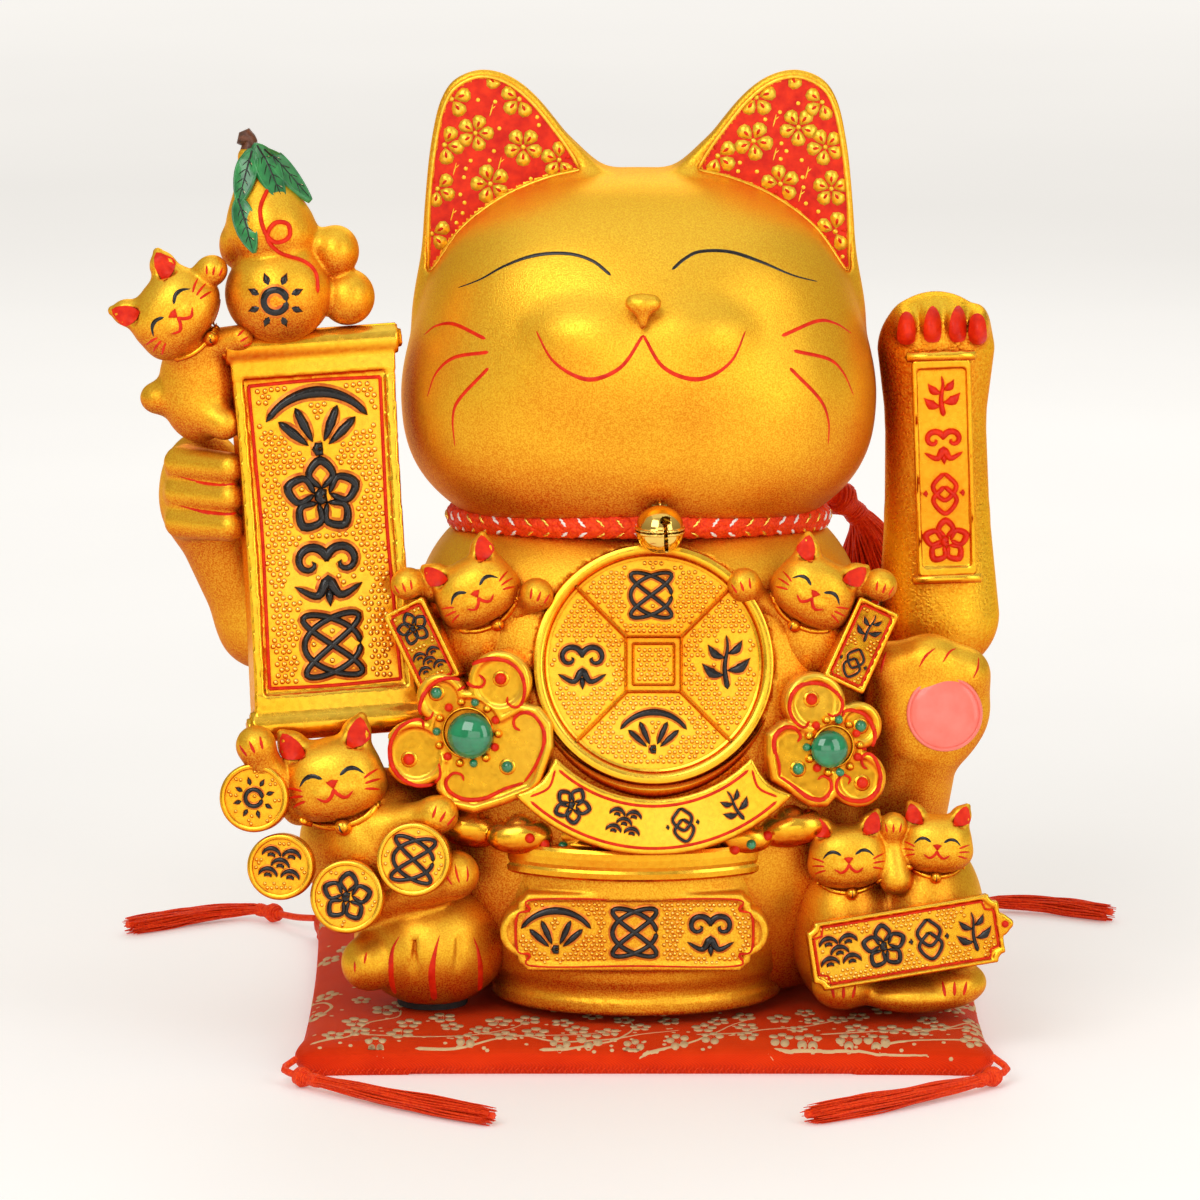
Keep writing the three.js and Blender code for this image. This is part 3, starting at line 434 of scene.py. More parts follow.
def limb(a, b, ra, rb=None):
    a, b, rb = np.array(a, float), np.array(b, float), ra if rb is None else rb

    def f(p):
        t = np.clip((p - a) @ (b - a) / ((b - a) @ (b - a)), 0, 1)[:, None]
        return np.linalg.norm(p - a - t * (b - a), axis=1) - (ra + (rb - ra) * t[:, 0])

    return f


def rectangle(w, h, corner=0.0, at=(0, 0)):
    def f(q):
        d = np.abs(q - np.array(at)) - np.array([w / 2 - corner, h / 2 - corner])
        return np.minimum(d.max(1), 0) + np.linalg.norm(np.maximum(d, 0), axis=1) - corner

    return f


def circles(k, *discs):
    def f(q):
        d = None
        for u, v, r in discs:
            e = np.hypot(q[:, 0] - u, q[:, 1] - v) - r
            d = e if d is None else soft_min(d, e, k)
        return d

    return f


def polygon(points):
    """Distance to a flat outline, read from a fine table of it."""
    pts = np.array(points, float)
    pts = pts[np.linalg.norm(pts - np.roll(pts, 1, 0), axis=1) > 1e-6]
    low, high = pts.min(0) - 12, pts.max(0) + 12
    grid = (high - low).max() / 240
    size = np.ceil((high - low) / grid).astype(int) + 2
    gu, gv = np.meshgrid(low[0] + grid * np.arange(size[0]), low[1] + grid * np.arange(size[1]),
                         indexing="ij")
    q = np.stack([gu.ravel(), gv.ravel()], 1)
    d, inside = np.full(len(q), 1e9), np.zeros(len(q), bool)
    for a, b in zip(pts, np.roll(pts, -1, 0)):
        e, w = b - a, q - a
        t = np.clip(w @ e / (e @ e), 0, 1)[:, None]
        d = np.minimum(d, ((w - t * e) ** 2).sum(1))
        if a[1] != b[1]:
            crossing = (a[1] > q[:, 1]) != (b[1] > q[:, 1])
            inside ^= crossing & (q[:, 0] < a[0] + (q[:, 1] - a[1]) * e[0] / e[1])
    table = (np.where(inside, -1, 1) * np.sqrt(d)).reshape(size)

    def f(p):
        x = np.clip((p - low) / grid, 0, size - 1.001)
        i = x.astype(int)
        s, t = (x - i).T
        i, j = i.T
        lower = table[i, j] * (1 - s) + table[i + 1, j] * s
        upper = table[i, j + 1] * (1 - s) + table[i + 1, j + 1] * s
        near = lower * (1 - t) + upper * t
        beyond = np.maximum(np.maximum(low - p, p - high), 0)
        return near + np.hypot(beyond[:, 0], beyond[:, 1])

    return f


def rounded(a, b, edge):
    """Where both distances are inside, with the corner between them rounded."""
    a, b = a + edge, b + edge
    return np.minimum(np.maximum(a, b), 0) + np.hypot(np.maximum(a, 0), np.maximum(b, 0)) - edge


def slab(plane, flat, thick, edge=1.0):
    """A plate of that thickness about its plane, its edges rounded."""

    def f(p):
        q = plane.local(p)
        return rounded(flat(q[:, [0, 2]]), np.abs(q[:, 1]) - thick / 2, edge)

    return f


def soft_min(a, b, k):
    h = np.maximum(k - np.abs(a - b), 0) / max(k, 1e-6)
    return np.minimum(a, b) - h * h * k / 4


def merge(k, *forms):
    def f(p):
        d = forms[0](p)
        for g in forms[1:]:
            d = soft_min(d, g(p), k)
        return d

    return f


def carve(k, form, *cutters):
    def f(p):
        d = form(p)
        for g in cutters:
            d = -soft_min(-d, g(p), k)
        return d

    return f


def above(z, slope=0.0):
    """The space above a level that tips with y."""
    return lambda p: z + slope * p[:, 1] - p[:, 2]


def below(z, slope=0.0):
    return lambda p: p[:, 2] - z - slope * p[:, 1]


EDGES = [(a, b) for a in range(8) for b in range(a + 1, 8) if bin(a ^ b).count("1") == 1]


def net(form, low, high, step, block=4, settle=3):
    """A closed quad mesh of a form's surface: surface nets on a grid, sampled only near the surface."""
    low, high = np.array(low, float) - 2 * step, np.array(high, float) + 2 * step
    m = np.ceil((high - low) / (step * block)).astype(int)
    n = m * block + 1
    ax = [low[k] + step * np.arange(n[k]) for k in range(3)]
    coarse = np.stack(np.meshgrid(*[a[::block] for a in ax], indexing="ij"), -1).reshape(-1, 3)
    dc = form(coarse).reshape(m + 1)
    c = np.stack([dc[i:m[0] + i, j:m[1] + j, k:m[2] + k] for i in (0, 1) for j in (0, 1) for k in (0, 1)])
    near = (np.abs(c).min(0) < 1.3 * block * step) | ((c.min(0) < 0) & (c.max(0) > 0))
    index = [np.minimum(np.arange(n[k]) // block, m[k] - 1) for k in range(3)]
    lower = [np.maximum((np.arange(n[k]) - 1) // block, 0) for k in range(3)]
    mask = np.zeros(n, bool)
    for i in (index[0], lower[0]):
        for j in (index[1], lower[1]):
            for k in (index[2], lower[2]):
                mask |= near[np.ix_(i, j, k)]
    d = dc[:m[0], :m[1], :m[2]][np.ix_(*index)].copy()
    where = np.nonzero(mask)
    d[where] = form(np.stack([ax[k][where[k]] for k in range(3)], 1))
    inside = d < 0
    size = n - 1
    corner = [np.s_[i:size[0] + i, j:size[1] + j, k:size[2] + k] for k in (0, 1) for j in (0, 1)
              for i in (0, 1)]
    count = sum(inside[s].astype(np.int8) for s in corner)
    live = (count > 0) & (count < 8)
    ids = np.full(size, -1)
    cell = np.nonzero(live)
    ids[cell] = np.arange(len(cell[0]))
    at = np.stack(cell, 1).astype(float)
    values = np.stack([d[s][cell] for s in corner], 1)
    offset = np.array([[i, j, k] for k in (0, 1) for j in (0, 1) for i in (0, 1)], float)
    total, number = np.zeros_like(at), np.zeros(len(at))
    for a, b in EDGES:
        va, vb = values[:, a], values[:, b]
        hit = (va < 0) != (vb < 0)
        t = np.where(hit, va / np.where(hit, va - vb, 1), 0)[:, None]
        total += np.where(hit[:, None], offset[a] * (1 - t) + offset[b] * t, 0)
        number += hit
    p = low + step * (at + total / number[:, None])
    tap = np.array([[1, -1, -1], [-1, -1, 1], [-1, 1, -1], [1, 1, 1]], float)
    for _ in range(settle):
        h = 0.12 * step
        g = sum(form(p + h * e)[:, None] * e for e in tap) / (4 * h)
        g2 = np.maximum((g * g).sum(1), 0.05)
        move = -form(p)[:, None] * g / g2[:, None]
        long = np.linalg.norm(move, axis=1)
        p = p + move * np.minimum(1, 0.6 * step / np.maximum(long, 1e-9))[:, None]
    faces = []
    for axis in range(3):
        o1, o2 = [k for k in range(3) if k != axis]
        a, b = [slice(None)] * 3, [slice(None)] * 3
        a[axis], b[axis] = slice(0, -1), slice(1, None)
        first, second = inside[tuple(a)], inside[tuple(b)]
        i = np.stack(np.nonzero(first != second), 1)
        i = i[(i[:, o1] > 0) & (i[:, o2] > 0) & (i[:, o1] < size[o1]) & (i[:, o2] < size[o2])]
        step1, step2 = np.eye(3, dtype=int)[o1], np.eye(3, dtype=int)[o2]
        quad = np.stack([ids[tuple((i - s).T)] for s in (0 * step1, step1, step1 + step2, step2)], 1)
        flip = first[tuple(i.T)] ^ (axis == 1)
        quad[flip] = quad[flip][:, ::-1]
        faces.append(quad)
    return p, np.concatenate(faces)


def tree_of(verts, faces):
    return BVHTree.FromPolygons(verts.tolist(), faces.tolist())


def solid(name, node, form, low, high, step, paint=None, body="figure"):
    """The piece that stands for a CAD node, meshed from its form. Returns its points and faces."""
    verts, faces = net(form, low, high, step)
    make(name, Bag().add(verts, faces), paint or satin_gold, body, [node])
    return verts, faces


# ---------------------------------------- where decoration lies
def flat(plane, depth=0.0):
    """Lays (u, v) points on a plane's front, depth millimetres out of it."""
    out = plane.R @ np.array([0.0, -1.0, 0.0])

    def lay(uv):
        uv = np.asarray(uv, float)
        p = plane.world(np.stack([uv[:, 0], np.full(len(uv), -depth), uv[:, 1]], 1))
        return p, np.tile(out, (len(uv), 1))

    return lay


def cast(plane, tree, reach=80.0):
    """Lays (u, v) points on the first surface met along a plane's depth."""
    way = plane.R @ np.array([0.0, 1.0, 0.0])

    def lay(uv):
        at, out = [], []
        for u, v in np.asarray(uv, float):
            start = plane.put(u, v, -reach)
            hit, normal, *_ = tree.ray_cast(Vector(start), Vector(way), 2.5 * reach)
            if hit is None:
                hit, normal, *_ = tree.find_nearest(Vector(plane.put(u, v)))
            if normal.dot(Vector(way)) > 0:
                normal = -normal
            at.append(hit)
            out.append(normal)
        return np.array(at), np.array(out)

    return lay


def angles(n):
    """n angles evenly round a circle."""
    return np.linspace(0, 2 * math.pi, n, endpoint=False)


def cosd(a):
    return math.cos(math.radians(a))


def sind(a):
    return math.sin(math.radians(a))


def unit(v):
    return v / np.maximum(np.linalg.norm(v, axis=1), 1e-9)[:, None]


def run_of(line):
    """How far along a line each of its points lies."""
    return np.concatenate([[0], np.cumsum(np.linalg.norm(np.diff(line, axis=0), axis=1))])


def smooth(points, step, closed=False):
    """Catmull-Rom through the points, resampled about step apart."""
    p = np.array(points, float)
    if len(p) == 2 and not closed:
        n = max(2, int(np.linalg.norm(p[1] - p[0]) / step) + 1)
        return p[0] + (p[1] - p[0]) * np.linspace(0, 1, n)[:, None]
    q = np.vstack([p[-1], p, p[0], p[1]]) if closed else np.vstack([2 * p[0] - p[1], p, 2 * p[-1] - p[-2]])
    out = []
    for a, b, c, d in zip(q, q[1:], q[2:], q[3:]):
        t = np.linspace(0, 1, 13)[:-1, None]
        out.append(0.5 * (2 * b + (c - a) * t + (2 * a - 5 * b + 4 * c - d) * t ** 2
                          + (3 * b - a - 3 * c + d) * t ** 3))
    out = np.vstack(out + [q[-2:-1]])
    far = run_of(out)
    n = max(3, int(far[-1] / step) + 1)
    s = np.linspace(0, far[-1], n + closed)[:n]
    return np.stack([np.interp(s, far, out[:, k]) for k in range(out.shape[1])], 1)


def direction(p, closed=False):
    return unit(np.roll(p, -1, 0) - np.roll(p, 1, 0) if closed else np.gradient(p, axis=0))


SECTION = np.array([[-1, 0], [-0.62, 0.72], [0, 1], [0.62, 0.72], [1, 0]])


def stroke(bag, lay, points, width, height=0.35, slot=0, step=0.8, closed=False, sink=0.3, blunt=False):
    """A painted or raised line. width is one number or three, at its start, middle and end."""
    uv = smooth(points, step, closed)
    p, normal = lay(uv)
    n = len(p)
    t = np.linspace(0, 1, n)
    w = np.interp(t, [0, 0.5, 1], np.ones(3) * np.array(width, float)) / 2
    h = np.full(n, float(height))
    if not closed and not blunt:
        far = t * np.linalg.norm(np.diff(uv, axis=0), axis=1).sum()
        end = np.clip(np.minimum(far, far[::-1]) / np.maximum(w.max(), 1e-6), 0.02, 1)
        w, h = w * np.sqrt(end), h * np.sqrt(end)
    side = unit(np.cross(normal, direction(p, closed)))
    rows = [p + side * (w * a)[:, None] + normal * np.where(b > 0, h * b, -sink)[:, None]
            for a, b in SECTION]
    verts = np.stack(rows, 1).reshape(-1, 3)
    bag.add(verts, grid(n, len(SECTION), closed, turned=True), slot)
    return uv


def tube(bag, points, radius, sides=8, slot=0, closed=False, caps=True):
    """A round tube along 3D points; radius is one number or one for each point."""
    p = np.array(points, float)
    n = len(p)
    r = np.ones(n) * radius
    d = direction(p, closed)
    ref = np.array([0.0, 0.0, 1.0]) if abs(d[0][2]) < 0.9 else np.array([1.0, 0.0, 0.0])
    side = np.zeros_like(p)
    for i in range(n):
        ref = ref - d[i] * (ref @ d[i])
        ref = ref / max(np.linalg.norm(ref), 1e-9)
        side[i] = ref
    up = np.cross(d, side)
    a = angles(sides)
    ring = side[:, None] * np.cos(a)[None, :, None] + up[:, None] * np.sin(a)[None, :, None]
    verts = (p[:, None] + ring * r[:, None, None]).reshape(-1, 3)
    bag.add(verts, grid(n, sides, closed, loop=True), slot)
    if caps and not closed:
        for end, flip in ((0, 1), (n - 1, -1)):
            ring_at = verts[end * sides:(end + 1) * sides]
            tip = p[end] - flip * d[end] * r[end] * 0.5
            fan = [[0, 1 + (q + 1) % sides, 1 + q][::flip] for q in range(sides)]
            bag.add(np.vstack([tip, ring_at]), fan, slot)


def spun(bag, plane, profile, sides=48, slot=0):
    """A turned form about a plane's -w axis: profile is (radius, height out of the front)."""
    r, h = np.array(profile, float).T
    a = angles(sides)
    u, v = np.outer(r, np.cos(a)), np.outer(r, np.sin(a))
    verts = plane.world(np.stack([u, -np.repeat(h[:, None], sides, 1), v], -1).reshape(-1, 3))
    bag.add(verts, grid(len(r), sides, loop=True), slot)


def dome(bag, lay, uv, radius, height, slot=0, sides=8):
    """Small round beads at each (u, v)."""
    uv = np.asarray(uv, float).reshape(-1, 2)
    if not len(uv):
        return
    p, normal = lay(uv)
    ref = np.where(np.abs(normal[:, 2:]) < 0.9, [[0.0, 0.0, 1.0]], [[1.0, 0.0, 0.0]])
    side = unit(np.cross(normal, ref))
    up = np.cross(normal, side)
    a = angles(sides)
    r = np.ones(len(p)) * radius
    h = np.ones(len(p)) * height
    levels = [(1.0, -0.3), (0.93, 0.36), (0.58, 0.82)]
    rows = []
    for rr, hh in levels:
        out = side[:, None] * np.cos(a)[None, :, None] + up[:, None] * np.sin(a)[None, :, None]
        rows.append(p[:, None] + out * (r * rr)[:, None, None] + normal[:, None] * (h * hh)[:, None, None])
    tip = (p + normal * h[:, None])[:, None]
    verts = np.concatenate(rows + [tip], 1).reshape(-1, 3)
    size = 3 * sides + 1
    k = np.arange(sides)
    m = (k + 1) % sides
    quads = grid(len(levels), sides, loop=True)
    tris = np.stack([2 * sides + k, 2 * sides + m, np.full(sides, 3 * sides)], 1)
    shift = (np.arange(len(p)) * size)[:, None, None]
    n0 = bag.n
    bag.add(verts, (quads[None] + shift).reshape(-1, 4), slot)
    bag.f.append(((tris[None] + shift).reshape(-1, 3) + n0, slot))


def patch(bag, lay, outline, spacing, slot=0, lift=0.0):
    """A sheet that fills an outline on a surface."""
    edge = np.array(outline, float)
    low, high = edge.min(0), edge.max(0)
    gu, gv = np.meshgrid(np.arange(low[0], high[0], spacing), np.arange(low[1], high[1], spacing))
    inner = np.stack([gu.ravel(), gv.ravel()], 1)
    inner = inner[polygon(edge)(inner) < -0.55 * spacing]
    points = np.vstack([edge, inner])
    rim = [(i, (i + 1) % len(edge)) for i in range(len(edge))]
    made = delaunay_2d_cdt([Vector(q) for q in points], rim, [list(range(len(edge)))], 1, 1e-4)
    uv = np.array([tuple(q) for q in made[0]])
    p, normal = lay(uv)
    faces = np.array(made[2])
    verts = p + normal * lift
    a, b, c = verts[faces[:, 0]], verts[faces[:, 1]], verts[faces[:, 2]]
    wrong = (np.cross(b - a, c - a) * normal[faces[:, 0]]).sum(1) < 0
    faces[wrong] = faces[wrong][:, ::-1]
    bag.add(verts, faces, slot)


def hexes(inside, low, high, pitch, keep_off=(), margin=1.0, jitter=0.12):
    """Points of a loose honeycomb where inside(uv) is below -margin, away from any stroke."""
    rows = []
    for i, v in enumerate(np.arange(low[1], high[1], pitch * 0.866)):
        u = np.arange(low[0] + (i % 2) * pitch / 2, high[0], pitch)
        rows.append(np.stack([u, np.full(len(u), v)], 1))
    uv = np.vstack(rows)
    uv = uv + RNG.uniform(-jitter, jitter, uv.shape) * pitch
    uv = uv[inside(uv) < -margin]
    for line, off in keep_off:
        gap = np.full(len(uv), 1e9)
        for q in line:
            gap = np.minimum(gap, np.hypot(*(uv - q).T))
        uv = uv[gap > off]
    return uv


# ---------------------------------------- ornament: plain motifs, not writing
def arc(u, v, r, start, end, n=9, squash=1.0):
    a = np.radians(np.linspace(start, end, n))
    return [(u + r * math.cos(t), v + squash * r * math.sin(t)) for t in a]


def spiral(u, v, r, turns, start, way=1, shrink=0.12, n=22):
    t = np.linspace(0, 1, n)
    return [(u + r * (1 - t_ * (1 - shrink)) * math.cos(start + way * 2 * math.pi * turns * t_),
             v + r * (1 - t_ * (1 - shrink)) * math.sin(start + way * 2 * math.pi * turns * t_))
             for t_ in t]


def petals(n, inner, outer, wide):
    out = []
    for i in range(n):
        a = math.pi / 2 + i * 2 * math.pi / n
        c, s = math.cos(a), math.sin(a)
        place = lambda x, y: (x * c - y * s, x * s + y * c)
        out.append([place(inner, 0), place((inner + outer) / 2, wide), place(outer, 0),
                    place((inner + outer) / 2, -wide), place(inner, 0)])
    return out


MOTIFS = {
    "knot": [(([(0.80 * math.sin(3 * t + math.pi / 2), 0.88 * math.sin(2 * t)) for t in
                np.linspace(0, 2 * math.pi, 49)]), (0.15, 0.15, 0.15))],
    "blossom": [(line, (0.12, 0.2, 0.12)) for line in petals(5, 0.20, 0.95, 0.33)] + [
        (arc(0, 0, 0.11, 0, 360, 8), (0.2, 0.2, 0.2))],
    "cloud": [(spiral(-0.42, 0.22, 0.46, 1.1, 0.0, 1), (0.20, 0.17, 0.10)),
              (spiral(0.42, 0.22, 0.46, 1.1, math.pi, -1), (0.20, 0.17, 0.10)),
              ([(-0.85, -0.35), (-0.3, -0.62), (0.0, -0.25), (0.3, -0.62), (0.85, -0.35)],
               (0.08, 0.24, 0.08)),
              ([(0, -0.45), (0.02, -0.9)], (0.2, 0.16, 0.06))],
    "fan": [(arc(0, -0.75, 1.55, 35, 145), (0.12, 0.24, 0.12)),
            (arc(0, -0.62, 0.1, 0, 360, 10), (0.14, 0.14, 0.14))] + [
        ([(r * math.cos(a), r * math.sin(a) - 0.75) for r in (0.34, 0.8, 1.3)], (0.08, 0.2, 0.14))
        for a in np.radians((42, 66, 114, 138))],
    "sprig": [([(0.05, -0.92), (-0.05, -0.2), (0.05, 0.5), (0.0, 0.9)], (0.18, 0.13, 0.06)),
              ([(-0.03, -0.45), (-0.45, -0.40), (-0.82, -0.05)], (0.06, 0.30, 0.03)),
              ([(0.0, -0.30), (0.45, -0.22), (0.82, 0.14)], (0.06, 0.30, 0.03)),
              ([(0.0, 0.12), (-0.36, 0.24), (-0.62, 0.58)], (0.06, 0.26, 0.03)),
              ([(0.03, 0.25), (0.34, 0.4), (0.55, 0.74)], (0.06, 0.24, 0.03))],
    "wheel": [(arc(0, 0, 0.36, 0, 360, 14), (0.17, 0.17, 0.17))] + [
        ([(0.55 * math.cos(a), 0.55 * math.sin(a)), (0.93 * math.cos(a), 0.93 * math.sin(a))],
         (0.22, 0.16, 0.05))
        for a in np.radians(np.arange(0, 360, 45) + 22.5)],
    "waves": [(arc(u, v, 0.42, 8, 172), (0.08, 0.2, 0.08)) for u, v in
              ((-0.45, 0.35), (0.45, 0.35), (0.0, -0.1), (-0.5, -0.55), (0.5, -0.55))] + [
        (arc(u, v, 0.17, 10, 170), (0.1, 0.15, 0.1)) for u, v in
        ((-0.45, 0.35), (0.45, 0.35), (0.0, -0.1), (-0.5, -0.55), (0.5, -0.55))],
    "lozenge": [([(0, 0.92), (0.52, 0.3), (0, -0.32), (-0.52, 0.3), (0, 0.92)], (0.14, 0.14, 0.14)),
                ([(0, 0.32), (0.52, -0.3), (0, -0.92), (-0.52, -0.3), (0, 0.32)], (0.14, 0.14, 0.14)),
                (arc(-0.82, 0, 0.07, 0, 360, 7), (0.13, 0.13, 0.13)),
                (arc(0.82, 0, 0.07, 0, 360, 7), (0.13, 0.13, 0.13))],
}


def motif(bag, lay, kind, u, v, size, slot=0, height=0.9, spin=0.0, bold=1.0, lines=None, halo=None):
    """Draws a motif about (u, v), size being half its height, and notes its lines to keep dots off."""
    c, s = cosd(spin), sind(spin)
    for points, width in MOTIFS[kind]:
        q = [(u + size * (x * c + y * s), v + size * (y * c - x * s)) for x, y in points]
        line = stroke(bag, lay, q, [size * x * bold for x in width], height, slot, max(0.35, size * 0.09))
        # a wider, lower base under the stroke, coloured with the painted shade of its sides
        if halo is not None:
            stroke(bag, lay, q, [size * x * bold + 0.16 * size for x in width], height * 0.35, halo,
                   max(0.35, size * 0.12))
        if lines is not None:
            lines.append((line[::2], size * 0.13 * bold + 1.0))


def held(points, inside, margin=0.9):
    """Points pulled in to stay within an outline, or nothing where they lie wholly outside it."""
    q = np.array(points, float)
    if inside is None:
        return q
    if inside(q).mean() > -margin:
        return None
    a, b = np.array([0.4, 0.0]), np.array([0.0, 0.4])
    out = np.stack([inside(q + a) - inside(q - a), inside(q + b) - inside(q - b)], 1) / 0.8
    return q - np.maximum(inside(q) + margin, 0)[:, None] * out


def flower(bag, lay, u, v, r, spin, fill, mark, lift=0.22, inside=None):
    """A five-petal plum blossom: filled petals and a drop at each petal's root, cut off at the outline."""
    for i in range(5):
        a = spin + i * 2 * math.pi / 5
        c, s = math.cos(a), math.sin(a)
        shape = [(0.14, 0), (0.38, 0.25), (0.66, 0.37), (0.90, 0.26), (0.97, 0), (0.90, -0.26),
                 (0.66, -0.37), (0.38, -0.25)]
        ring = [(u + r * (x * c - y * s), v + r * (x * s + y * c)) for x, y in shape]
        drop = [(0.30, 0), (0.46, 0.075), (0.60, 0.06), (0.66, 0), (0.60, -0.06), (0.46, -0.075)]
        drop = [(u + r * (x * c - y * s), v + r * (x * s + y * c)) for x, y in drop]
        for shape, rise, slot in ((ring, lift, fill), (drop, lift + 0.16, mark)):
            shape = held(shape, inside)
            if shape is not None:
                fan(bag, lay, shape, rise, slot)
    eye = held(arc(u, v, 0.13 * r, 0, 315, 8), inside)
    if eye is not None:
        fan(bag, lay, eye, lift + 0.2, fill)


def fan(bag, lay, ring, lift, slot):
    """A small filled shape, raised off the surface."""
    ring = np.array(ring, float)
    p, normal = lay(np.vstack([ring.mean(0), ring]))
    out = normal[0]
    verts = np.vstack([p + out * lift, p[1:] - out * 0.1])
    n = len(ring)
    top = [[0, 1 + i, 1 + (i + 1) % n] for i in range(n)]
    a, b, c = verts[top[0][0]], verts[top[0][1]], verts[top[0][2]]
    wrong = np.dot(np.cross(b - a, c - a), out) < 0
    if wrong:
        top = [t[::-1] for t in top]
    n0 = bag.n
    bag.add(verts, top, slot)
    wall = [[1 + i, 1 + (i + 1) % n, n + 1 + (i + 1) % n, n + 1 + i] for i in range(n)]
    if not wrong:
        wall = [w[::-1] for w in wall]
    bag.f.append((np.array(wall) + n0, slot))


# ---------------------------------------- tassels: the free cords come first
LIE = 4.6  # height of a cord's middle where it lies on the floor
GOLDEN_ANGLE = 2.399963  # spreads the threads of a skirt evenly
TASSELS = {
    "tassel_front_left": ("cushion", 1.0,
                          [(-146, -131, 8), (-150.5, -140, 6), (-143, -147, LIE), (-134, -156, LIE),
                                           (-100, -186, LIE), (-62, -213, LIE)]),
    "tassel_front_right": ("cushion", 1.0,
                           [(146, -131, 9), (151.5, -140, 6), (145, -147, LIE), (138, -155, LIE),
                                            (104, -184, LIE), (66, -211, LIE)]),
    "tassel_rear_left": ("cushion", 1.0,
                         [(-146, 131, 8), (-155, 142, 6), (-166, 157, LIE), (-178, 164, LIE),
                                          (-206, 150, LIE), (-230, 132, LIE)]),
    "tassel_rear_right": ("cushion", 1.0, [(146, 131, 8), (153, 144, 6), (153, 166, LIE), (160, 179, LIE),
                                           (186, 173, LIE), (212, 158, LIE)]),
    "collar_tassel": ("figure", 1.75,
                      [(72, 35, 212), (82, 43, 216), (88, 48, 212), (97, 54, 200), (100, 57, 182),
                                       (99, 57, 166)]),
}
CORD_RADIUS = 1.5


def tassel(node, body, scale, route):
    """A silk cord that runs on through a wrapped head into the skirt of threads tied round it."""
    line = smooth(route, 3.6)
    far = run_of(line)
    knot = far[np.argmin(np.linalg.norm(line - np.array(route[2]), axis=1))]
    curve = bpy.data.curves.new(node + "_cord", "CURVE")
    curve.dimensions = "3D"
    curve.bevel_depth = CORD_RADIUS * scale * MM
    curve.bevel_resolution = 3
    curve.use_fill_caps = True
    spline = curve.splines.new("POLY")
    spline.points.add(len(line) - 1)
    spline.points.foreach_set("co", np.hstack([line * MM, np.ones((len(line), 1))]).ravel())
    curve.materials.append(cord_red.m)
    cord = bpy.data.objects.new(node + "_cord", curve)
    bpy.context.scene.collection.objects.link(cord)
    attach(cord, body)
    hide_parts(node)

    fine = smooth(route, 0.8)
    run = run_of(fine)
    place = lambda s: np.stack([np.interp(s, run, fine[:, k]) for k in range(3)], -1)
    bag = Bag()
    neck = 15 * scale ** 0.5  # length of the wrapped head
    start = knot - 5 * scale
    turns = int(neck / (1.0 * scale ** 0.5))
    t = np.linspace(0, 1, turns * 14)
    width = np.interp(t, [0, 0.12, 0.32, 0.5, 0.62, 0.85, 1], [1.4, 3.6, 4.3, 3.2, 2.5, 2.9, 2.7]) * scale
    s = start + t * neck
    at, way = place(s), direction(place(s))
    ref = np.array([0, 0, 1.0]) if abs(way[0][2]) < 0.8 else np.array([0, 1.0, 0])
    side = unit(np.cross(way, ref))
    up = np.cross(side, way)
    a = (t * turns * 2 * math.pi)[:, None]
    coil = at + (side * np.cos(a) + up * np.sin(a)) * (width[:, None] - 0.35)
    coil[:, 2] = np.maximum(coil[:, 2], 0.62 * scale if body == "cushion" else -1e9)
    tube(bag, coil, 0.56 * scale ** 0.5, 5)
    core_s = np.linspace(start, start + neck, 14)
    tube(bag, place(core_s), np.interp(np.linspace(0, 1, 14), [0, 0.12, 0.32, 0.5, 0.62, 0.85, 1],
                                       [1.0, 3.1, 3.7, 2.7, 2.1, 2.5, 2.4]) * scale, 10)
    # the skirt: threads that leave the neck together and loosen towards their ends
    first, last = start + neck * 0.9, far[-1]
    spread = 1.0 if body == "cushion" else 1.9
    strands = int(80 * scale * spread)
    for i in range(strands):
        angle, ring = i * GOLDEN_ANGLE, math.sqrt((i + 0.5) / strands)
        end = last - RNG.uniform(0, 0.07) * (last - first)
        t = np.linspace(0, 1, 20)
        s = first + t * (end - first)
        at, way = place(s), direction(place(s))
        side = unit(np.cross(way, ref))
        up = np.cross(side, way)
        loose = (2.2 + (4.5 * spread - 2.2) * np.sin(np.minimum(t * 1.25, 1) * 1.4)) * scale * ring
        sway = RNG.uniform(-0.5, 0.5, 2) * t[:, None] * scale + 0.28 * np.sin(
            t[:, None] * RNG.uniform(9, 15) + RNG.uniform(0, 6, 2))
        p = at + side * (loose * math.cos(angle) * 1.15 + sway[:, 0])[:, None]
        p += up * (loose * math.sin(angle) * 0.92 + sway[:, 1])[:, None]
        if body == "cushion":
            p[:, 2] = np.maximum(p[:, 2] - 0.8 * t ** 2, 0.5)
        tube(bag, p, np.interp(t, [0, 0.9, 1], [0.40, 0.36, 0.16]) * scale ** 0.5, 4, i % 2)
    skirt = make(node + "_silk", bag, [silk_red, cord_red], body)
    [x * MM for x in route[0]]


for node, (body, scale, route) in TASSELS.items():
    tassel(node, body, scale, route)


# ---------------------------------------- head
HX = -2.0  # the head's middle stands a little to one side of the row frame's
WALL = 6.0  # ceramic
COLLAR_Z, COLLAR_SLOPE = 216, -0.12  # the collar's plane tips down towards the back
EAR_OUTLINE = [(-92, 300), (-94, 330), (-92, 362), (-89.5, 381), (-86, 395), (-80, 404), (-69, 408.2),
               (-57, 405.5),
               (-46, 397), (-34, 382), (-20, 363), (-24, 330), (-60, 305)]
LINING = [(-91.8, 331), (-91.2, 350), (-89.8, 366), (-87.6, 381), (-84.6, 393.2), (-79.4, 401.2),
          (-69.2, 405.6),
          (-58.0, 403.0), (-47.4, 394.6), (-36.2, 380.6), (-31.0, 373), (-26.6, 365.6), (-42.3, 361.8),
          (-60.5, 353.6),
          (-77.5, 340.4), (-90.8, 322)]
FRONT = Plane((0, 0, 0))
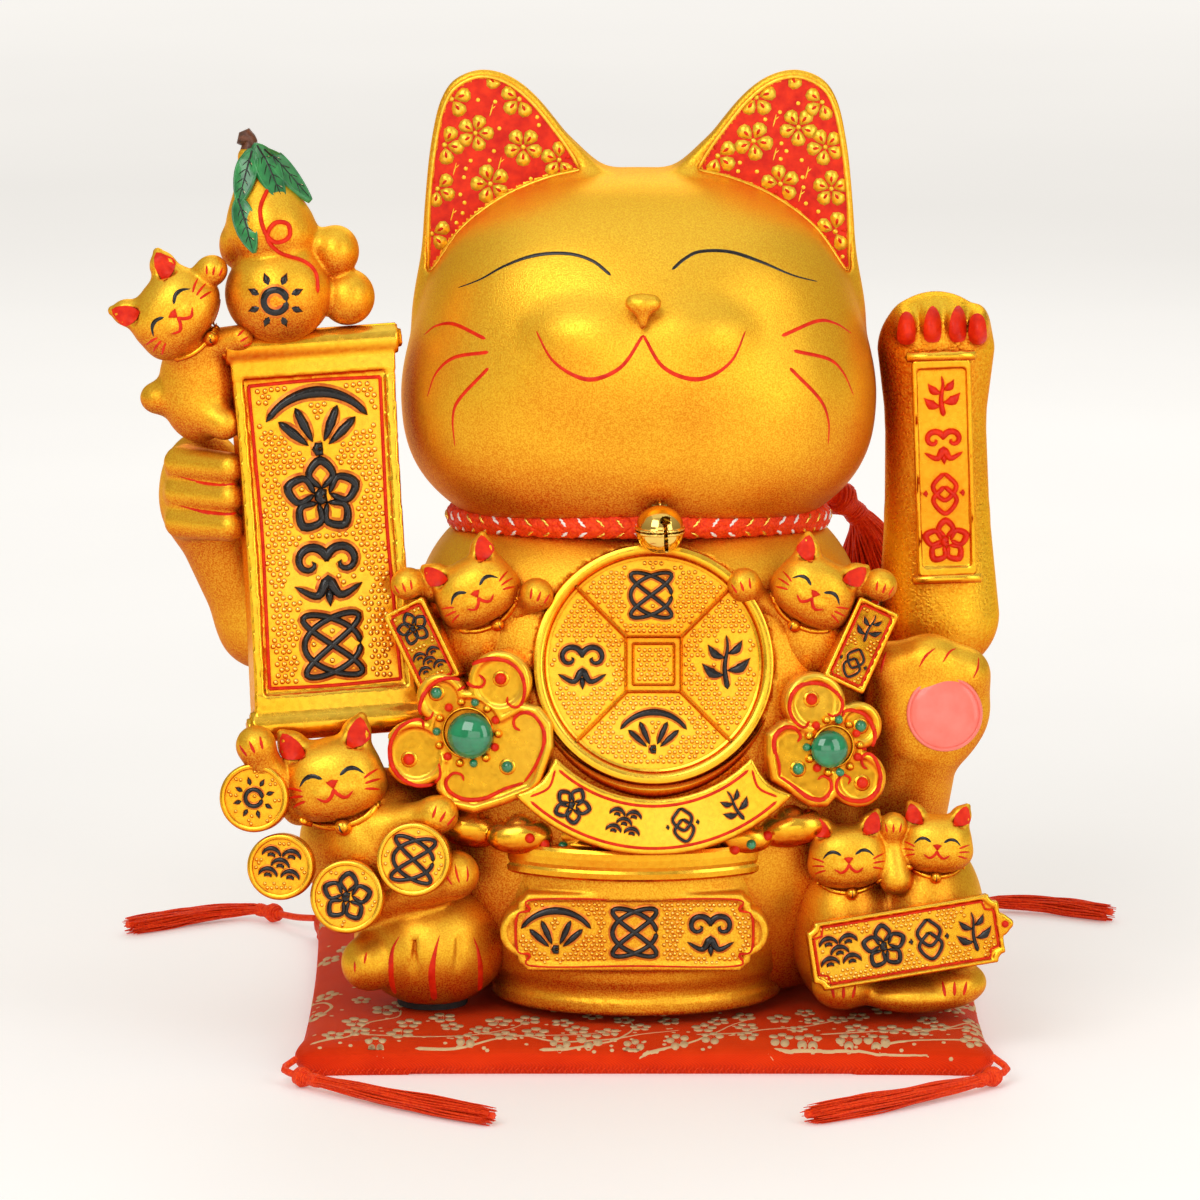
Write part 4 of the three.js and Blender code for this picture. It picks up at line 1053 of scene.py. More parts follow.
FLOWERS = ([(-81.5, 395.9), (-52.7, 395.9), (-71.4, 381.4), (-84.5, 376.3), (-51.1, 375.4), (-87.5, 357.5),
            (-65.1, 359.6), (-90.1, 338.2), (-35.8, 369.9), (-66.2, 408.2)],
           [(47.8, 396.7), (61.7, 407.8), (75.7, 394.6), (46.6, 378.0), (65.7, 383.9), (77.1, 375.4),
            (31.4, 371.6), (58.1, 359.6), (79.7, 357.5), (81.5, 339.1)])


def mirror(points):
    return [(2 * HX - x, z) for x, z in points][::-1]


ear_edge = smooth(EAR_OUTLINE, 2.5, True)
lining_edge = smooth(LINING[:12], 2.0)
lining_edge = np.vstack([lining_edge, smooth(LINING[11:] + LINING[:1], 2.0)[1:-1]])
ear_slabs = [slab(Plane((0, 6, 0)), polygon(q), 25.5, 2.0) for q in (ear_edge, mirror(ear_edge))]
ear_back = lambda p: (p[:, 1] - 19.5 + 0.24 * np.maximum(p[:, 2] - 345, 0)) * 0.97  # thins towards the tip
ears = [lambda p, e=e: -soft_min(-e(p), -ear_back(p), 9) for e in ear_slabs]
recesses = [slab(Plane((0, -25.6, 0)), polygon(q), 40, 0.8) for q in (lining_edge, mirror(lining_edge))]
skull = merge(22, ball((HX, -2, 288), (94.5, 75.5, 76.5), power=2.5),
              ball((HX, -8, 263), (98, 71.5, 53.5), power=2.4))
face = merge(20, skull, ball((HX, -50, 294), (50, 34, 30)))
face = merge(9, face, merge(2, ball((-24.2, -62, 303), (24, 21, 14.6), 14),
                            ball((20.6, -62, 303), (24, 21, 14.6), 14)))
nose = merge(4, limb((-4.6, -85.6, 321.2), (3.6, -85.6, 321.2), 3.4, 3.4),
             limb((HX + 1.4, -86.2, 320), (HX + 1.4, -86.6, 312), 3.6, 1.7))
head_form = carve(1.2, merge(11, merge(2.2, face, nose), *ears), *recesses)
chin_cut = above(COLLAR_Z, COLLAR_SLOPE)
neck_hole = lambda p: np.hypot(p[:, 0] - HX, p[:, 1] + 5) - 40


def head_shell(p):
    d = head_form(p)
    out = -soft_min(-d, -chin_cut(p), 5)
    hollow = np.maximum(skull(p) + WALL, chin_cut(p) + WALL)
    return np.maximum(out, -np.minimum(hollow, np.maximum(neck_hole(p), p[:, 2] - 245)))


head_mesh = solid("head", "head_shell", head_shell, (-102, -90, 205), (98, 78, 407), 1.6)
on_head = cast(FRONT, tree_of(*head_mesh), 140)

paint = Bag()
for eye in ([(-78.3, 321.6), (-68.7, 326.3), (-58.2, 332.6), (-45.7, 337.3), (-32.3, 338.5), (-21.8, 336.0),
             (-13.9, 330.5)],
            [(73.1, 324.2), (61.8, 328.4), (49.3, 334.3), (35.9, 338.9), (23.7, 339.4), (17.0, 336.8),
             (11.6, 332.6)]):
    stroke(paint, on_head, eye, (0.5, 2.3, 1.8), 0.22, 0)
for side in (-1, 1):
    lip = [(-0.5, 307.5), (-9.3 if side < 0 else 7.4, 294.8), (-20.2 if side < 0 else 18.7, 289.2),
           (-28.9 if side < 0 else 28.3, 290.2), (-38.6 if side < 0 else 37.0, 296.6),
           (-45.2 if side < 0 else 42.4, 308)]
    stroke(paint, on_head, lip, (1.6, 2.5, 0.8), 0.3, 1)
for whisker in ([(-92.9, 299.6), (-87.5, 304.8), (-79.5, 306.9), (-66.4, 302.6)],
                [(-91.4, 275.3), (-87.5, 286.0), (-79.5, 293.7), (-65.2, 297.5)],
                [(-79.6, 256.1), (-80.4, 268.5), (-77.5, 277.0), (-65.2, 291.1)],
                [(87.9, 300.5), (80.5, 306.5), (72.3, 308.6), (57.6, 304.3)],
                [(88.5, 275.7), (84, 286), (77.4, 292.8), (62.7, 297.9)],
                [(77.6, 256.9), (77.6, 267), (73.7, 277.0), (61.0, 291.1)]):
    stroke(paint, on_head, whisker, (0.5, 2.1, 2.1), 0.22, 1)
make("head_paint", paint, [black, red])

lining = Bag()
floor_lay = flat(FRONT, 5.75)
for side, edge in ((0, lining_edge), (1, np.array(mirror(lining_edge)))):
    patch(lining, floor_lay, edge, 6, 0)
    inside = polygon(edge)
    low, high = edge.min(0), edge.max(0)
    for i, (u, v) in enumerate(FLOWERS[side]):
        flower(lining, floor_lay, u, v, 8.8 - 0.3 * (i % 3), 0.3 + 1.1 * i, 1, 0, 0.12 + 0.1 * (i % 3),
               inside)
    spots = np.array(FLOWERS[side])
    between = hexes(inside, low, high, 4.2, [(spots, 9.8)], 1.8, 0.25)
    dome(lining, floor_lay, between[::2], 0.95, 0.22, 1, 8)
    for u, v in [q for q in between[1::2] if inside(q[None])[0] < -4][::3]:
        twig = [(u - 0.8, v - 3), (u, v), (u + 0.6, v + 2.6)]
        stroke(lining, floor_lay, twig, (0.5, 0.9, 0.4), 0.16, 1, 0.7)
        stroke(lining, floor_lay, [(u, v), (u + 1.8, v + 1.6)], (0.6, 0.7, 0.4), 0.16, 1, 0.7)
    stroke(lining, flat(FRONT, 6.6), edge, 1.9, 0.5, 1, 1.2, True, 1.4)
make("ear_lining", lining, [red, yellow])


# ---------------------------------------- torso and what is sunk in it
torso_form = merge(26, ball((-2, -5, 160), (97, 76, 72), power=2.6),
                   ball((0, 0, 78), (105.5, 83.5, 84), power=2.4),
                   ball((0, -20, 108), (99.5, 69.5, 92), power=2.5))
BASE_Z = 18.85  # the ceramic's underside
cover_low, cover_high = box("rear_cover")
cover_mid = (cover_low + cover_high) / 2
PIVOT = np.array([91.0, 4.0, 172.0])
COIN = Plane((4, -87, 168), 14)
boss = slab(Plane((cover_mid[0], 64, cover_mid[2])), rectangle(104, 70, 10), 40, 1.5)


def torso_shell(p):
    d = -soft_min(-soft_min(torso_form(p), boss(p), 5), -below(COLLAR_Z - 2, COLLAR_SLOPE)(p), 6)
    d = -soft_min(-d, -above(BASE_Z)(p), 5)
    face = np.maximum(np.abs(p[:, 0] - cover_mid[0]) - 52, np.abs(p[:, 2] - cover_mid[2]) - 35)
    cut_back = np.maximum(face, (cover_low[1] - 0.35) - p[:, 1])
    d = np.maximum(d, -cut_back)
    hollow = np.maximum(torso_form(p) + WALL, BASE_Z + WALL - p[:, 2])
    q = COIN.local(p)
    seat = np.maximum(np.hypot(q[:, 0], q[:, 2]) - 50.2, q[:, 1] - 13.5)
    rear = np.maximum(np.maximum(np.abs(p[:, 0] - cover_mid[0]) - 40, np.abs(p[:, 2] - cover_mid[2]) - 24),
                      60 - p[:, 1])
    plug = np.maximum(np.hypot(p[:, 0], p[:, 1]) - 40.2, p[:, 2] - 40)
    neck = np.maximum(neck_hole(p), 190 - p[:, 2])
    bush = np.maximum(np.hypot(p[:, 1] - PIVOT[1], p[:, 2] - PIVOT[2]) - 5.6, 70 - p[:, 0])
    return np.maximum(d, -np.minimum.reduce([hollow, rear, plug, neck, bush, seat]))


solid("torso", "torso_shell", torso_shell, (-110, -93, 16), (110, 88, 224), 2.0)


# ---------------------------------------- collar braid and bell
def collar_line(n):
    a = angles(n)
    y = -5 - 60 * np.cos(a)
    return np.stack([-2 + 76 * np.sin(a), y, COLLAR_Z + COLLAR_SLOPE * y], 1)


ring = smooth(collar_line(60), 1.0, True)
ring_way = direction(ring, True)
ring_up = np.array([0, 0.119, 0.993])
ring_out = unit(np.cross(ring_way, ring_up))
ring_up = np.cross(ring_out, ring_way)
steps = len(ring)
at_ring = lambda k, a, r: ring[k % steps] + r[:, None] * (ring_out[k % steps] * np.cos(a)[:, None]
                                                         + ring_up[k % steps] * np.sin(a)[:, None])
braid = Bag()
STRANDS, TURNS = 9, 12
for way in (1, -1):
    for i in range(STRANDS):
        k = np.arange(steps)
        a = way * (2 * math.pi * TURNS * k / steps) + i * 2 * math.pi / STRANDS
        r = 5.75 + 0.42 * way * np.sin(STRANDS * 2 * math.pi * TURNS * k / steps + i * math.pi)
        p = at_ring(k, a, r)
        out = unit(p - ring[k])
        d = direction(p, True)
        side = np.cross(out, d)
        rows = [p + side * (1.95 * c) + out * (h - 0.25) for c, h in
                ((-1, -0.35), (-0.75, 0.35), (-0.3, 0.72), (0.3, 0.72), (0.75, 0.35), (1, -0.35))]
        v = np.stack(rows, 1).reshape(-1, 3)
        braid.add(v, grid(steps, len(rows), ring=True))
tube(braid, ring[::4], 5.5, 14, closed=True)
make("collar_braid", braid, cord_red, replaces=["neck_cord"])

filament = Bag()
far = steps / 56
for row, tilt, reach_a in ((0.08, 1, 0.30), (-0.85, -1, 0.22)):
    for i in range(56):
        centre = i * far
        lean_way = 1 if math.sin(centre / steps * 2 * math.pi) < 0 else -1
        t = np.linspace(-1, 1, 7)
        k = np.round(centre + t * 1.7).astype(int)
        a = row + lean_way * tilt * -t * reach_a
        p = at_ring(k, a, np.full(7, 6.34))
        tube(filament, p, np.array([0.12, 0.5, 0.62, 0.66, 0.62, 0.5, 0.12]), 6, (i // 2) % 2)
make("collar_filaments", filament, [white_thread, gold_thread])

upper_low, upper_high = box("bell_upper")
lower_low, lower_high = box("bell_lower")
BELL = np.array([(upper_low[0] + upper_high[0]) / 2, (lower_low[1] + lower_high[1]) / 2, 224.5])
sphere = lambda p: np.linalg.norm(p - BELL, axis=1)
slot_cut = lambda p: np.minimum(
    np.maximum(np.abs(p[:, 0] - BELL[0] - 2.4 + 0.05 * (p[:, 2] - BELL[2])) - 0.75,
               np.maximum(p[:, 1] - BELL[1] + 1, p[:, 2] - BELL[2] - 5)),
    np.maximum(np.hypot(p[:, 0] - BELL[0] - 2.2, (p[:, 2] - BELL[2] - 5.2) * 1.25) - 2.2,
               p[:, 1] - BELL[1]))


def bell_half(way):
    def f(p):
        shell = np.maximum(sphere(p) - 10.2, 9.3 - sphere(p))
        flange = np.maximum(np.abs(p[:, 2] - BELL[2] - way * 0.75) - 0.42,
                            np.maximum(sphere(p) - 10.75, 9.4 - sphere(p)))
        d = soft_min(shell, flange, 0.5)
        d = np.maximum(d, -way * (p[:, 2] - BELL[2]) + 0.17)
        return np.maximum(d, -slot_cut(p))

    return f


for node, way in (("bell_upper", 1), ("bell_lower", -1)):
    bag = Bag()
    low = BELL - (11.5, 11.5, 11.5)
    high = BELL + (11.5, 11.5, 11.5)
    verts, faces = net(bell_half(way), low, high, 0.42, settle=2)
    bag.add(verts, faces)
    if way > 0:
        a = angles(20)
        eye_at = np.array([BELL[0], BELL[1] + 7.4, BELL[2] + 8.8])
        tube(bag, eye_at + np.stack([0 * a, 1.7 * np.cos(a), 1.7 * np.sin(a)], 1), 0.6, 8, closed=True)
    make(node + "_half", bag, brass, "bell", [node], 35)
finish_node("bell_clapper", steel, "steel")
finish_node("bell_staple", brass, "brass")


# ---------------------------------------- kittens
def base_cut(form):
    """Nothing of a form reaches below the ceramic's flat underside."""
    return lambda p: np.maximum(form(p), BASE_Z - p[:, 2])


def paw_marks(bag, lay, u, v, r, spin=0.0, slot=0):
    """Three short claw lines fanned over a paw."""
    for x in (-0.42, 0.0, 0.42):
        a = math.radians(spin) + x * 0.5
        along = lambda d: (u + r * x * cosd(spin) + r * d * math.sin(a),
                           v - r * x * sind(spin) + r * d * math.cos(a))
        stroke(bag, lay, [along(0.05), along(0.45), along(0.72)], (0.16 * r, 0.22 * r, 0.08 * r), 0.25,
               slot, 0.4)


def kitten_head(at, s, roll):
    """A wide smiling head with two ears, leaning by roll."""
    pl = Plane((at[0], at[1] + 1, at[2]), 6, roll)
    ear = lambda w: merge(0.1 * s,
                          limb(pl.put(w * 0.48 * s, 0.46 * s, -0.05 * s),
                               pl.put(w * 0.64 * s, 0.78 * s, -0.08 * s), 0.38 * s, 0.27 * s),
                          limb(pl.put(w * 0.64 * s, 0.78 * s, -0.08 * s),
                               pl.put(w * 0.78 * s, 1.02 * s, -0.05 * s), 0.26 * s, 0.10 * s))
    form = merge(0.18 * s, ball(at, (0.97 * s, 0.72 * s, 0.78 * s), 0, roll, power=2.3),
                 ball(pl.put(0, -0.26 * s, 0.02 * s), (1.0 * s, 0.66 * s, 0.52 * s), 0, roll, power=2.2))
    form = merge(0.14 * s, form, ear(-1), ear(1))
    snout = [ball(pl.put(w * 0.2 * s, -0.2 * s, -0.58 * s), (0.24 * s, 0.2 * s, 0.16 * s), 0, roll)
             for w in (-1, 1)]
    hollow = [ball(pl.put(w * 0.65 * s, 0.74 * s, -0.42 * s), (0.25 * s, 0.16 * s, 0.32 * s), 0,
                   roll + 24 * w) for w in (-1, 1)]
    form = carve(0.05 * s, merge(0.07 * s, form, *snout), *hollow)
    return pl, form


def kitten_paint(bag, pl, s, tree):
    """Eyes in black; ears, nose, mouth and whiskers in red; a collar band with a little bell."""
    lay = cast(pl, tree, 3 * s)
    k = lambda points: [(s * u, s * v) for u, v in points]
    for w in (-1, 1):
        stroke(bag, lay, k([(w * 0.64, 0.0), (w * 0.50, 0.14), (w * 0.34, 0.17), (w * 0.17, 0.08)]),
               (0.03 * s, 0.12 * s, 0.085 * s), 0.2, 0, 0.5)
        stroke(bag, lay, k([(0, -0.14), (w * 0.06, -0.27), (w * 0.2, -0.36), (w * 0.36, -0.26)]),
               (0.09 * s, 0.12 * s, 0.05 * s), 0.2, 1, 0.5)
        for a, b, c in (((0.90, 0.02), (0.74, -0.02), (0.60, -0.08)),
                        ((0.92, -0.18), (0.76, -0.17), (0.60, -0.18)),
                        ((0.86, -0.38), (0.72, -0.32), (0.58, -0.28))):
            stroke(bag, lay, k([(w * a[0], a[1]), (w * b[0], b[1]), (w * c[0], c[1])]),
                   (0.03 * s, 0.075 * s, 0.06 * s), 0.2, 1, 0.5)
        ear = k([(w * 0.40, 0.54), (w * 0.44, 0.74), (w * 0.56, 0.92), (w * 0.76, 1.03), (w * 0.84, 0.84),
                 (w * 0.86, 0.62), (w * 0.66, 0.50)])
        ring = smooth(ear, 0.10 * s, True)
        patch(bag, lay, ring, 0.075 * s, 1, 0.4)
    fan(bag, lay, k([(-0.12, 0.0), (0.0, 0.03), (0.12, 0.0), (0.0, -0.15)]), 0.45, 1)
    band = k([(-0.80, -0.62), (-0.45, -0.86), (0, -0.94), (0.45, -0.86), (0.80, -0.62)])
    line = stroke(bag, lay, band, 0.15 * s, 0.09 * s, 2, 0.6)
    for i in range(3, len(line) - 3, 5):
        a, b = line[i], line[i + 1]
        stroke(bag, lay, [a - (b - a) * 0.8, b + (b - a) * 0.4], 0.06 * s, 0.09 * s + 0.25, 1, 0.3)
    dome(bag, lay, [(0.02 * s, -0.97 * s)], 0.17 * s, 0.26 * s, 2, 16)
    stroke(bag, lay, k([(0.02, -0.95), (0.02, -1.10)]), 0.04 * s, 0.275 * s, 0, 0.3)


K = {
    "kitten_upper_left": dict(heads=[((-71, -73, 197), 18, -30)], step=0.9,
        body=[ball((-68, -58, 174), (22, 18, 22)), limb((-56, -68, 184), (-46, -76, 195), 5, 5),
              ball((-45, -79, 196), 7),
              limb((-80, -66, 192), (-98, -72, 200), 5, 5), ball((-100, -74, 199.5), 6.5)],
        paws=[(-45, 194, 7, 20), (-100, 197, 6.5, -20)]),
    "kitten_upper_right": dict(heads=[((72, -73, 197), 18, 30)], step=0.9,
        body=[ball((70, -58, 174), (22, 18, 22)), limb((56, -68, 186), (43, -75, 198), 5, 5),
              ball((42, -77, 200), 7),
              limb((80, -66, 192), (98, -72, 199.5), 5, 5), ball((100, -74, 199), 6.5)],
        paws=[(42, 198, 7, -20), (100, 196.5, 6.5, 20)]),
    "kitten_lower_left": dict(heads=[((-131, -84, 118.5), 22, -12)], step=1.1,
        body=[ball((-112, -64, 86), (34, 32, 32)), limb((-145, -84, 106), (-160, -90, 126), 8, 7),
              ball((-163, -92, 134), 8.5),
              limb((-110, -86, 98), (-90, -93, 104), 8, 7), ball((-86, -95, 105), 8)],
        paws=[(-163, 132, 8.5, -25), (-86, 103, 8, 30)]),
    "kitten_climbing": dict(heads=[((-198, -51, 312), 20, -52)], step=1.0,
        body=[ball((-188, -38, 279), (17, 15, 25)), ball((-205, -38, 273), (8, 8, 7)),
              ball((-181, -52, 330), 6),
              limb((-186, -44, 296), (-170, -52, 301), 7, 5.5),
              limb((-190, -42, 270), (-177, -50, 264), 9, 7),
              limb((-188, -41, 288), (-195, -49, 306), 11, 10),
              limb((-196, -50, 317), (-184, -51, 328), 8, 5.5)],
        paws=[(-181, 328, 6, 10), (-170, 300, 6, 60)]),
    "kitten_pair": dict(heads=[((86, -86, 85.5), 17, -4), ((123.5, -82, 90), 15.5, 3)], step=1.0,
        body=[ball((86, -64, 50), (24, 30, 36)), ball((120, -62, 52), (25, 30, 38)),
              limb((104, -82, 92), (106, -88, 76), 6, 7),
              ball((105, -86, 98), 6), ball((114, -86, 26), (24, 16, 8)), ball((84, -90, 30), (13, 14, 10)),
              ball((132, -84, 30), (13, 14, 9))],
        paws=[(105, 96, 6, 0), (84, 27, 9, 0), (131, 27, 9, 0)]),
}
for node, k in K.items():
    low, high = box(node)
    planes = [kitten_head(at, s, roll) for at, s, roll in k["heads"]]
    form = merge(0.9, *[f for _, f in planes], merge(4.5, *k["body"]))
    tree = tree_of(*solid(node + "_body", node, base_cut(form), low - 9, high + 8, k["step"]))
    bag = Bag()
    for (pl, _), (at, s, roll) in zip(planes, k["heads"]):
        kitten_paint(bag, pl, s, tree)
    lay = cast(FRONT, tree, 160)
    for u, v, r, spin in k["paws"]:
        paw_marks(bag, lay, u, v, r, spin, 1)
    make(node + "_paint", bag, [black, red, bright_gold])


# ---------------------------------------- feet, raised arm, tail and pink pad
def limb_piece(name, node, form, step, marks=()):
    low, high = box(node)
    mesh = solid(name, node, form, low - (4, 20, 4), high + 4, step)
    if marks:
        bag, lay = Bag(), cast(FRONT, tree_of(*mesh), 170)
        for points, width in marks:
            stroke(bag, lay, points, width, 0.25, 0, 0.7)
        make(name + "_marks", bag, [red])


limb_piece("right_foot_paw", "right_foot",
           base_cut(merge(9, ball((120, -54, 143), (27, 17, 27)), ball((103, -58, 162), 9.5),
           ball((121, -60, 165), (11, 10, 10)), ball((137, -58, 159), (9, 10, 9)),
           limb((116, -50, 128), (98, -30, 80), 19, 30))), 1.5,
           [([(100, 160), (101, 165), (102.5, 169)], (0.4, 1.4, 0.4)),
            ([(116, 163), (119, 168), (123, 171)], (0.4, 1.6, 0.5)),
            ([(126, 165), (129, 169), (132, 170)], (0.4, 1.4, 0.5)),
            ([(139, 158), (141, 162), (141.5, 166)], (0.4, 1.4, 0.5))])
stripes = [([(-105.4, 24), (-107, 36), (-106, 46), (-103, 52)], (3.4, 3.6, 0.3)),
           ([(-88.5, 22), (-89.5, 36), (-88, 46), (-86, 53)], (3.6, 3.8, 0.3)),
           ([(-69.4, 24), (-69, 36), (-70, 45), (-72, 51)], (3.4, 3.4, 0.3)),
           ([(-84.5, 84), (-82.5, 79), (-80.5, 76)], (0.4, 1.4, 0.8)),
           ([(-79.5, 85), (-78.5, 80), (-77.5, 77)], (0.4, 1.4, 0.8)),
           ([(-74.5, 84), (-74, 80), (-74.5, 77)], (0.4, 1.4, 0.8)),
           ([(-118, 40), (-117, 45)], (0.5, 1.5, 0.5)),
           ([(-122, 36), (-122, 41)], (0.5, 1.5, 0.5))]
left_form = merge(4, ball((-90, -64, 44), (33, 32, 28)), limb((-122, -76, 64), (-82, -90, 77), 12, 10),
                  ball((-79, -92, 79), 9.5),
                  ball((-116, -82, 38), (12, 12, 12)))
grooves = [limb((x, -97, 22), (x + 1, -93, 50), 2.0, 0.6) for x in (-97.5, -79)]
limb_piece("left_foot_paw", "left_foot", base_cut(carve(2.5, left_form, *grooves)), 1.4, stripes)
fingers = [limb((-196, -33, 244 - 12.5 * i), (-175, -50, 245 - 12.5 * i), 7.6, 6.6) for i in range(3)]
limb_piece("left_arm_paw", "left_arm",
           merge(2.5, merge(8, limb((-84, -4, 166), (-162, -8, 171), 27, 19),
                            limb((-162, -8, 171), (-184, -18, 222), 19, 19),
           ball((-187, -22, 231), (19, 18, 25))), *fingers), 1.7,
           [([(-197, 239.5), (-186, 238), (-172, 238.5)], (0.4, 2.4, 1.4)),
            ([(-197, 227), (-186, 225.5), (-172, 226)], (0.4, 2.4, 1.4))])
limb_piece("tail_curl", "tail",
           base_cut(merge(7, limb((50, 76, 33), (84, 68, 31), 12),
                          limb((84, 68, 31), (106, 46, 30), 12, 11),
           limb((106, 46, 30), (116, 18, 32), 11, 9))), 1.6)

low, high = box("pink_pad")
bag = Bag()
pad_plane = Plane(((low[0] + high[0]) / 2, -72, (low[2] + high[2]) / 2), 10)
spun(bag, pad_plane, [(0, -3.9), (14.6, -3.9), (15.0, -2.5), (15.0, -1.3), (14.6, -0.4), (13.6, 0),
                      (12, 0.5), (8, 1.0), (4, 1.2), (0.01, 1.25)], 56)
make("pink_paw_pad", bag, pink, replaces=["pink_pad"])
bag = Bag()
a = angles(60)
tube(bag, pad_plane.world(np.stack([15.3 * np.cos(a), 0 * a + 0.9, 15.3 * np.sin(a)], 1)), 0.8, 8,
     closed=True)
make("pink_pad_rim", bag, pink)


# ---------------------------------------- great coin
coin = Bag()
spun(coin, COIN, [(0.01, -14.8), (49.6, -14.8), (50.8, -13.5), (50.8, -2.4), (50.2, -0.6), (48.6, 0),
                  (46.9, -0.3), (46.0, -1.3), (45.7, -2.6), (0.01, -2.6)], 120)
face_lay = flat(COIN, -2.6)
for half_, w, h in ((11.6, 1.5, 2.2), (8.6, 1.3, 1.5)):
    q = half_
    for a, b in (((-q, -q), (q, -q)), ((q, -q), (q, q)), ((q, q), (-q, q)), ((-q, q), (-q, -q))):
        stroke(coin, face_lay, [a, b], w, h, 0, 2, blunt=True)
for a in (45, 135, 225, 315):
    c, s = cosd(a), sind(a)
    stroke(coin, face_lay, [(16 * c, 16 * s), (46 * c, 46 * s)], 2.2, 2.2, 0, 2, blunt=True)
spun(coin, COIN, [(44.3, -2.7), (44.3, -1.7), (45.2, -1.4), (46, -2.2)], 120)
low_rim = [(51.8 * math.sin(t), -51.8 * math.cos(t) - 1.2) for t in np.linspace(-1.15, 1.15, 40)]
stroke(coin, flat(COIN, -5), low_rim, (1.0, 6.4, 1.0), 3.4, 0, 2)
make("great_coin_disc", coin, bright_gold, replaces=["great_coin"], sharp=50)
marks, lines = Bag(), []
for kind, u, v, size in (("knot", -1, 29, 10.8), ("cloud", -30, 0, 12), ("sprig", 30.5, 1, 12.5),
                         ("fan", 0, -29, 11)):
    motif(marks, face_lay, kind, u, v, size, 0, 1.6, bold=1.4, lines=lines, halo=1)
make("great_coin_motifs", marks, [black, halo])
bars = [(smooth([(11 * cosd(a), 11 * sind(a)),
                 (46 * cosd(a), 46 * sind(a))], 1.0), 2.0)
        for a in (45, 135, 225, 315)]
frame_lines = [(smooth([(q * a, q * b), (q * c, q * d)], 1.0), 1.75) for q in (11.6, 8.6)
               for a, b, c, d in ((-1, -1, 1, -1), (1, -1, 1, 1), (1, 1, -1, 1), (-1, 1, -1, -1))]
roe = Bag()
spots = hexes(lambda q: np.hypot(*q.T) - 44, (-45, -45), (45, 45), 2.35, lines + bars + frame_lines, 1.2,
              0.1)
dome(roe, face_lay, spots, 0.95, 0.75)
make("great_coin_roe", roe, roe_gold)


# ---------------------------------------- wish sceptre heads
RUYI = {
    "left": dict(at=(-73, -91, 138), yaw=-10, stone=9.8, core=18,
        lobes=[(13.2, 21.5, 13.6), (-11.6, 14.0, 10.8), (-21.8, -9.5, 14.4)],
        point=[(14, 8), (22, 13), (30, 11.5), (35.5, 5), (36, -5), (31.5, -20), (28.5, -24), (17, -29),
               (4, -33.5), (-8, -31.5),
               (-12.5, -24), (-12, -12), (0, 0)],
        lines=[[(4.2, 24.7), (6.8, 22.1), (5.3, 19.5), (1.1, 20), (-1.6, 23.7), (0.5, 27.9), (6.8, 31),
                (15.3, 31), (21.6, 26.8),
                (24.2, 20), (23.2, 13.7), (20.5, 11.4), (16.8, 13.2), (16.8, 15.8)],
               [(-4.7, 17.4), (-2.1, 19.5), (-4.7, 22.1), (-9.5, 22.6), (-15.3, 20), (-18.9, 15.3),
                (-20.5, 9.5), (-18.9, 5.8),
                (-15.8, 5.8), (-14.7, 8.4)],
               [(-18.4, 1.1), (-19.5, 4.2), (-23.7, 4.2), (-29.5, 0.5), (-32.6, -6.3), (-32.1, -13.7),
                (-28.4, -19.5), (-21.6, -22.9),
                (-14.7, -22.1), (-11.1, -18.9), (-11.6, -13.2)],
               [(22.6, 1.6), (20, 3.2), (20, 6.8), (24.2, 9.5), (28.9, 7.9), (32.6, 2.1), (32.6, -5.3),
                (28.9, -13.7), (24.6, -20.2)],
               [(24.6, -20.2), (16.3, -23.2), (7.9, -27.4), (-0.5, -28.2), (-6.8, -25.3), (-8.7, -21.1),
                (-5.8, -17.4), (-2.1, -17.9),
                (-1.1, -20.5)]],
        spots=[(13.7, 23.2, 0), (-13.7, 16.3, 1), (-24.7, -12.1, 0), (17.4, -13.7, 1)]),
    "right": dict(at=(78, -90, 132), yaw=12, stone=8.0, core=14,
        lobes=[(-7.1, 18.2, 13.2), (11.4, 8, 10.2), (10.6, -14.3, 12.2)],
        point=[(-12, 10), (-20.5, 11), (-27.5, 6), (-28, -3), (-26.5, -13.5), (-18, -19.5), (-10, -24.8),
               (-3, -25), (2, -20), (2, -5),
               (-5, 5)],
        lines=[[(-9.7, 11), (-12.2, 8.5), (-15.8, 10.5), (-18.4, 15.6), (-17.3, 22.2), (-12.8, 26.3),
                (-6.1, 26.8), (0, 24.3), (4.1, 19.2),
                (3.6, 14.6), (0.5, 12.6), (-2, 13.9)],
               [(4.1, 12), (5.6, 14.6), (9.7, 14.6), (14.8, 12), (17.9, 5.9), (17.3, 0.3), (14.8, -1.7),
                (11.2, -1.2)],
               [(14.8, -10.4), (12.8, -8.9), (12.2, -5.3), (14.8, -3.8), (17.9, -6.3), (19.9, -13.5),
                (17.9, -20.1), (12.8, -23.5),
                (6.1, -22.9), (1.5, -19.6), (1, -15), (4.1, -12.4), (7.1, -14), (6.1, -16.5)],
               [(-15.3, 2.3), (-13.8, 4.9), (-16.8, 8.5), (-21.4, 8.5), (-25, 4.9), (-25.5, -0.2),
                (-23.5, -6.3), (-23.5, -11.9)],
               [(-23.5, -11.9), (-17.3, -16.5), (-11.2, -21.1), (-5.1, -22.1), (-1.5, -18.6), (-1.5, -14.5),
                (-4.6, -12.4), (-7.1, -14)]],
        spots=[(-8.7, 20.2, 0), (12.2, 8, 1), (-15.3, -8.9, 1), (12.2, -16, 0)]),
}
